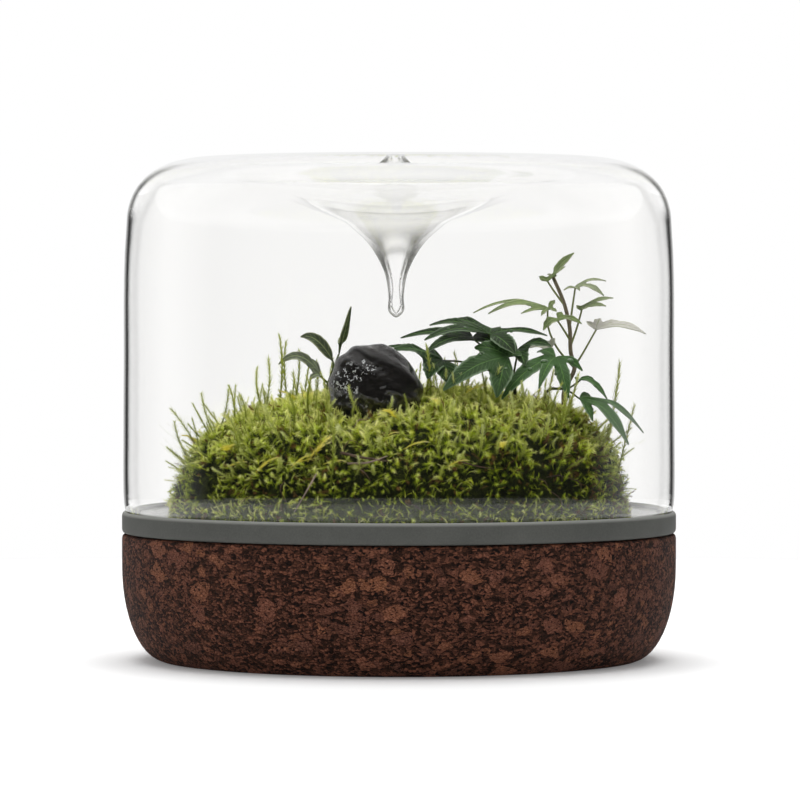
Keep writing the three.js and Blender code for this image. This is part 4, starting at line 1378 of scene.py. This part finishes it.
youngLook = {
    "dark": "#47611f", "light": "#7a9640", "other": "#dcd8d0", "vein": "#aebd80", "edge": "#d3d8b4",
    "roughness": 0.5, "coat": 0.0, "stems": ("#6f6350", "#9a8f78", "#8f9a62"),      # low, high, leaf stalks
}
sprigLook = {**youngLook, "dark": "#15260d", "light": "#37551e", "stems": ("#33331a", "#4f5a2a", "#5a6a36")}
darkLook = {
    "dark": "#071204", "light": "#1f3d09", "other": "#406431", "vein": "#6f9a4c", "edge": "#8fa584",
    "roughness": 0.46, "coat": 0.03, "stems": ("#2c2a16", "#4a5026", "#4c5a2c"),
}
# the last list says how much of the other colour each leaf has
buildIvy("tallIvy", tallStem, "ivy_tall_stem", "young_ivy", youngLook,
         [0.15, 0.3, 0.2, 0.95, 0.1, 0.12, 0.6, 0.8])
buildIvy("middleIvy", middleSpray, "ivy_middle_spray", "dark_ivy", darkLook,
         [0.0, 0.4, 0.9, 0.1, 0.0, 0.2])
buildIvy("lowIvy", lowSpray, "ivy_low_spray", "dark_ivy", darkLook, [0.85, 1.0])
buildIvy("leftIvy", leftSprig, "ivy_left_sprig", "young_ivy", sprigLook, [0.1, 0.05, 0.15])


# drops of water on the dark leaves
dew = {
    "places": [
        ((64.3, -30, 136), 1.7), ((77.2, -28, 137), 1.5), ((36, -37, 138), 0.9), ((33, -40, 136), 0.7),
        ((58, -34, 132), 1.0), ((47, -42, 132), 0.8), ((30, -26, 151), 0.9), ((22, -30, 150), 0.7),
        ((12, -30, 142), 0.8), ((50, -24, 149), 0.8), ((69, -35, 130), 0.8),
    ],
    "dome": [(0, -0.25), (0.9, -0.25), (1.0, 0.0), (0.93, 0.26), (0.7, 0.46), (0.37, 0.57), (0, 0.6)],
}


def buildDew():
    look = Finish("dewDrop", {"Coat Weight": 1.0, "Coat Roughness": 0.02})
    # painted reflection: lighter green in the middle, where the leaf shows through, and pale grey towards
    # the rim, where a drop mirrors the light
    facing = look.node("LayerWeight", {"Blend": 0.5})["Facing"]
    color = look.ramp(facing, (0.0, "#4f7a3a"), (0.5, "#1d3a12"), (0.8, "#9db394"), (1.0, "#e6ece2"))
    cloud = look.ramp(look.grain(look.place, 300.0, 1500.0, 0.4), (0.3, "#16300f"), (0.7, "#5a8246"))
    look.feed("Base Color", look.mix(0.15, color, cloud))
    leaves = bpy.data.objects["middleIvyBlades"].evaluated_get(bpy.context.evaluated_depsgraph_get())
    domePoints, domeFaces = turned(dew["dome"], 18)
    heap = Heap()
    for near, radius in dew["places"]:
        _, spot, normal, _ = leaves.closest_point_on_mesh(Vector(near) * mm)
        stand = standing(normal)
        heap.add([spot / mm + stand @ (Vector(point) * radius) for point in domePoints], domeFaces)
    heap.piece("ivyDew", "dark_ivy", look.material)
    print("dew laid:", len(dew["places"]))


buildDew()


# glass
glass = {
    "sides": 208,
    "top": 226.0,
    "neckLean": -1.3,
    "clear": (0.993, 0.991, 0.985),
    # the dark and grey colours below are painted shade, drawn on the glass where it is met at a glance
    "edge": (0.09, 0.09, 0.085),
    "neckPaintedShade": (0.12, 0.12, 0.11),
    "funnelPaintedShade": (0.945, 0.945, 0.94),
    "paintedLineAt": (0.8, 0.85, 0.95, 0.985),      # where the dark line begins, is full and ends
    "neckShadeAt": (0.24, 0.4),
    "funnelShadeAt": (0.5, 0.75),
    "bowlEdge": (0.04, 0.052),               # metres from the axis
    "neckEdge": (0.009, 0.022),
    "bore": [
        (0, 155.6), (1.7, 157.3), (1.9, 168), (3.4, 176), (7, 184.5), (12.6, 191.5), (20, 198.6),
        (29, 205), (41, 210.2), (57, 214.2), (71, 219.2), (80, 223.6), (89, 226),
    ],
    "outside": [
        (97.5, 225.2), (106.5, 222.4), (114, 217.6), (119.3, 211), (122.2, 203), (123, 194),
        (124.2, 130), (124.4, 100), (124.4, 77.5), (124.25, 73), (123.9, 69.6), (123.1, 66.7),
        (121.6, 64.5),
    ],
    "inside": [
        (119.6, 64.5), (121, 66.9), (121.8, 69.6), (122.2, 73), (122.4, 77.5), (122.4, 100),
        (122.3, 130), (121.1, 192), (119.6, 203), (115.2, 212.4), (107, 219), (97.5, 221.8),
        (87.5, 221.5), (78, 218), (68, 214), (55, 211.2), (42, 208.2), (31, 203.8), (22, 198),
        (14, 190.8), (8.4, 182.4), (5, 174), (3.4, 163), (3.2, 156.1), (0, 153.7),
    ],
}


def glassMaterial():
    clear = glass["clear"]
    look = Finish("clearGlass", {"Roughness": 0.0, "IOR": 1.46, "Transmission Weight": 1.0})
    maths, spread, mix, ramp = look.maths, look.spread, look.mix, look.ramp
    facing = look.node("LayerWeight", {"Blend": 0.5})["Facing"]
    geometry = look.node("NewGeometry")
    within = geometry["Backfacing"]
    lean = maths("ABSOLUTE", look.along(geometry["Normal"], "Z"))
    radius = look.vectors("LENGTH", look.vectors("MULTIPLY", look.place, (1.0, 1.0, 0.0)))
    # painted shade: a fine dark line where the outer face is met at a glance
    rim = ramp(facing, *zip(glass["paintedLineAt"], (clear, glass["edge"], glass["edge"], clear)))
    wall = mix(maths("MAXIMUM", look.mark("inside"), within), rim, clear)
    # painted shade: dark lines along the neck and a grey over the funnel, where they are met at a glance
    neck = ramp(facing, *zip(glass["neckShadeAt"], (clear, glass["neckPaintedShade"])))
    funnel = ramp(facing, *zip(glass["funnelShadeAt"], (clear, glass["funnelPaintedShade"])))
    bowl = spread(radius, *glass["bowlEdge"], 1.0, 0.0)
    lined = mix(bowl, mix(spread(lean, 0.6, 0.93, 1.0, 0.0), clear, wall), funnel)
    look.feed("Base Color", mix(spread(radius, *glass["neckEdge"], 1.0, 0.0), lined, neck))
    # level glass leads no light along itself, and the middle of the neck is plain clear
    steered = look.chain("MULTIPLY", spread(lean, 0.12, 0.3), spread(facing, 0.25, 0.27), within)
    skimmed = look.chain("MULTIPLY", spread(facing, 0.62, 0.82), spread(lean, 0.82, 0.92), 0.95,
                         maths("SUBTRACT", 1.0, bowl))
    central = spread(radius, 0.0075, 0.011, 1.0, 0.0)
    central = maths("MULTIPLY", central, spread(facing, 0.22, 0.36, 1.0, 0.0))
    look.feed("Alpha", maths("SUBTRACT", 1.0, look.chain("MAXIMUM", steered, skimmed, central)))
    return look.material


def buildGlass():
    # where a curve crosses the axis level, its reflection leads into it
    boreStart = [(-glass["bore"][1][0], glass["bore"][1][1])]
    tipEnd = [(-glass["inside"][-2][0], glass["inside"][-2][1])]
    down = smoothLine(boreStart + glass["bore"] + glass["outside"][:1], 5, 1.0)[5:-5]
    outer = smoothLine(glass["bore"][-2:] + glass["outside"], 6, 1.0)[6:]
    inner = smoothLine(glass["inside"] + tipEnd, 6, 1.0)[:-6]
    profile = [(max(0.0, radius), min(z, glass["top"])) for radius, z in down[:-1] + outer + inner]
    for end in (0, -1):
        profile[end] = (0.0, profile[end][1])
    points, faces = turned(profile[::-1], glass["sides"])
    insideCount = 1 + (len(inner) - 1) * glass["sides"]
    bent = [(x + glass["neckLean"] * (1 - smoothStep(math.hypot(x, y), 14, 60)), y, z)
            for x, y, z in points]
    inside = [1.0 if i < insideCount else 0.0 for i in range(len(bent))]
    mesh = newMesh("glassDome", bent, faces, glassMaterial(), inside=inside)
    piece = addPiece("glassDome", mesh, ["glass_cloche"])
    piece.visible_shadow = False
    # the overhead light leaves no glare on it
    unlit = bpy.data.collections.new("notMirroringTheSoftbox")
    unlit.objects.link(piece)
    unlit.collection_objects[0].light_linking.link_state = "EXCLUDE"
    bpy.data.objects["overhead"].light_linking.receiver_collection = unlit
    print("glass made")


buildGlass()
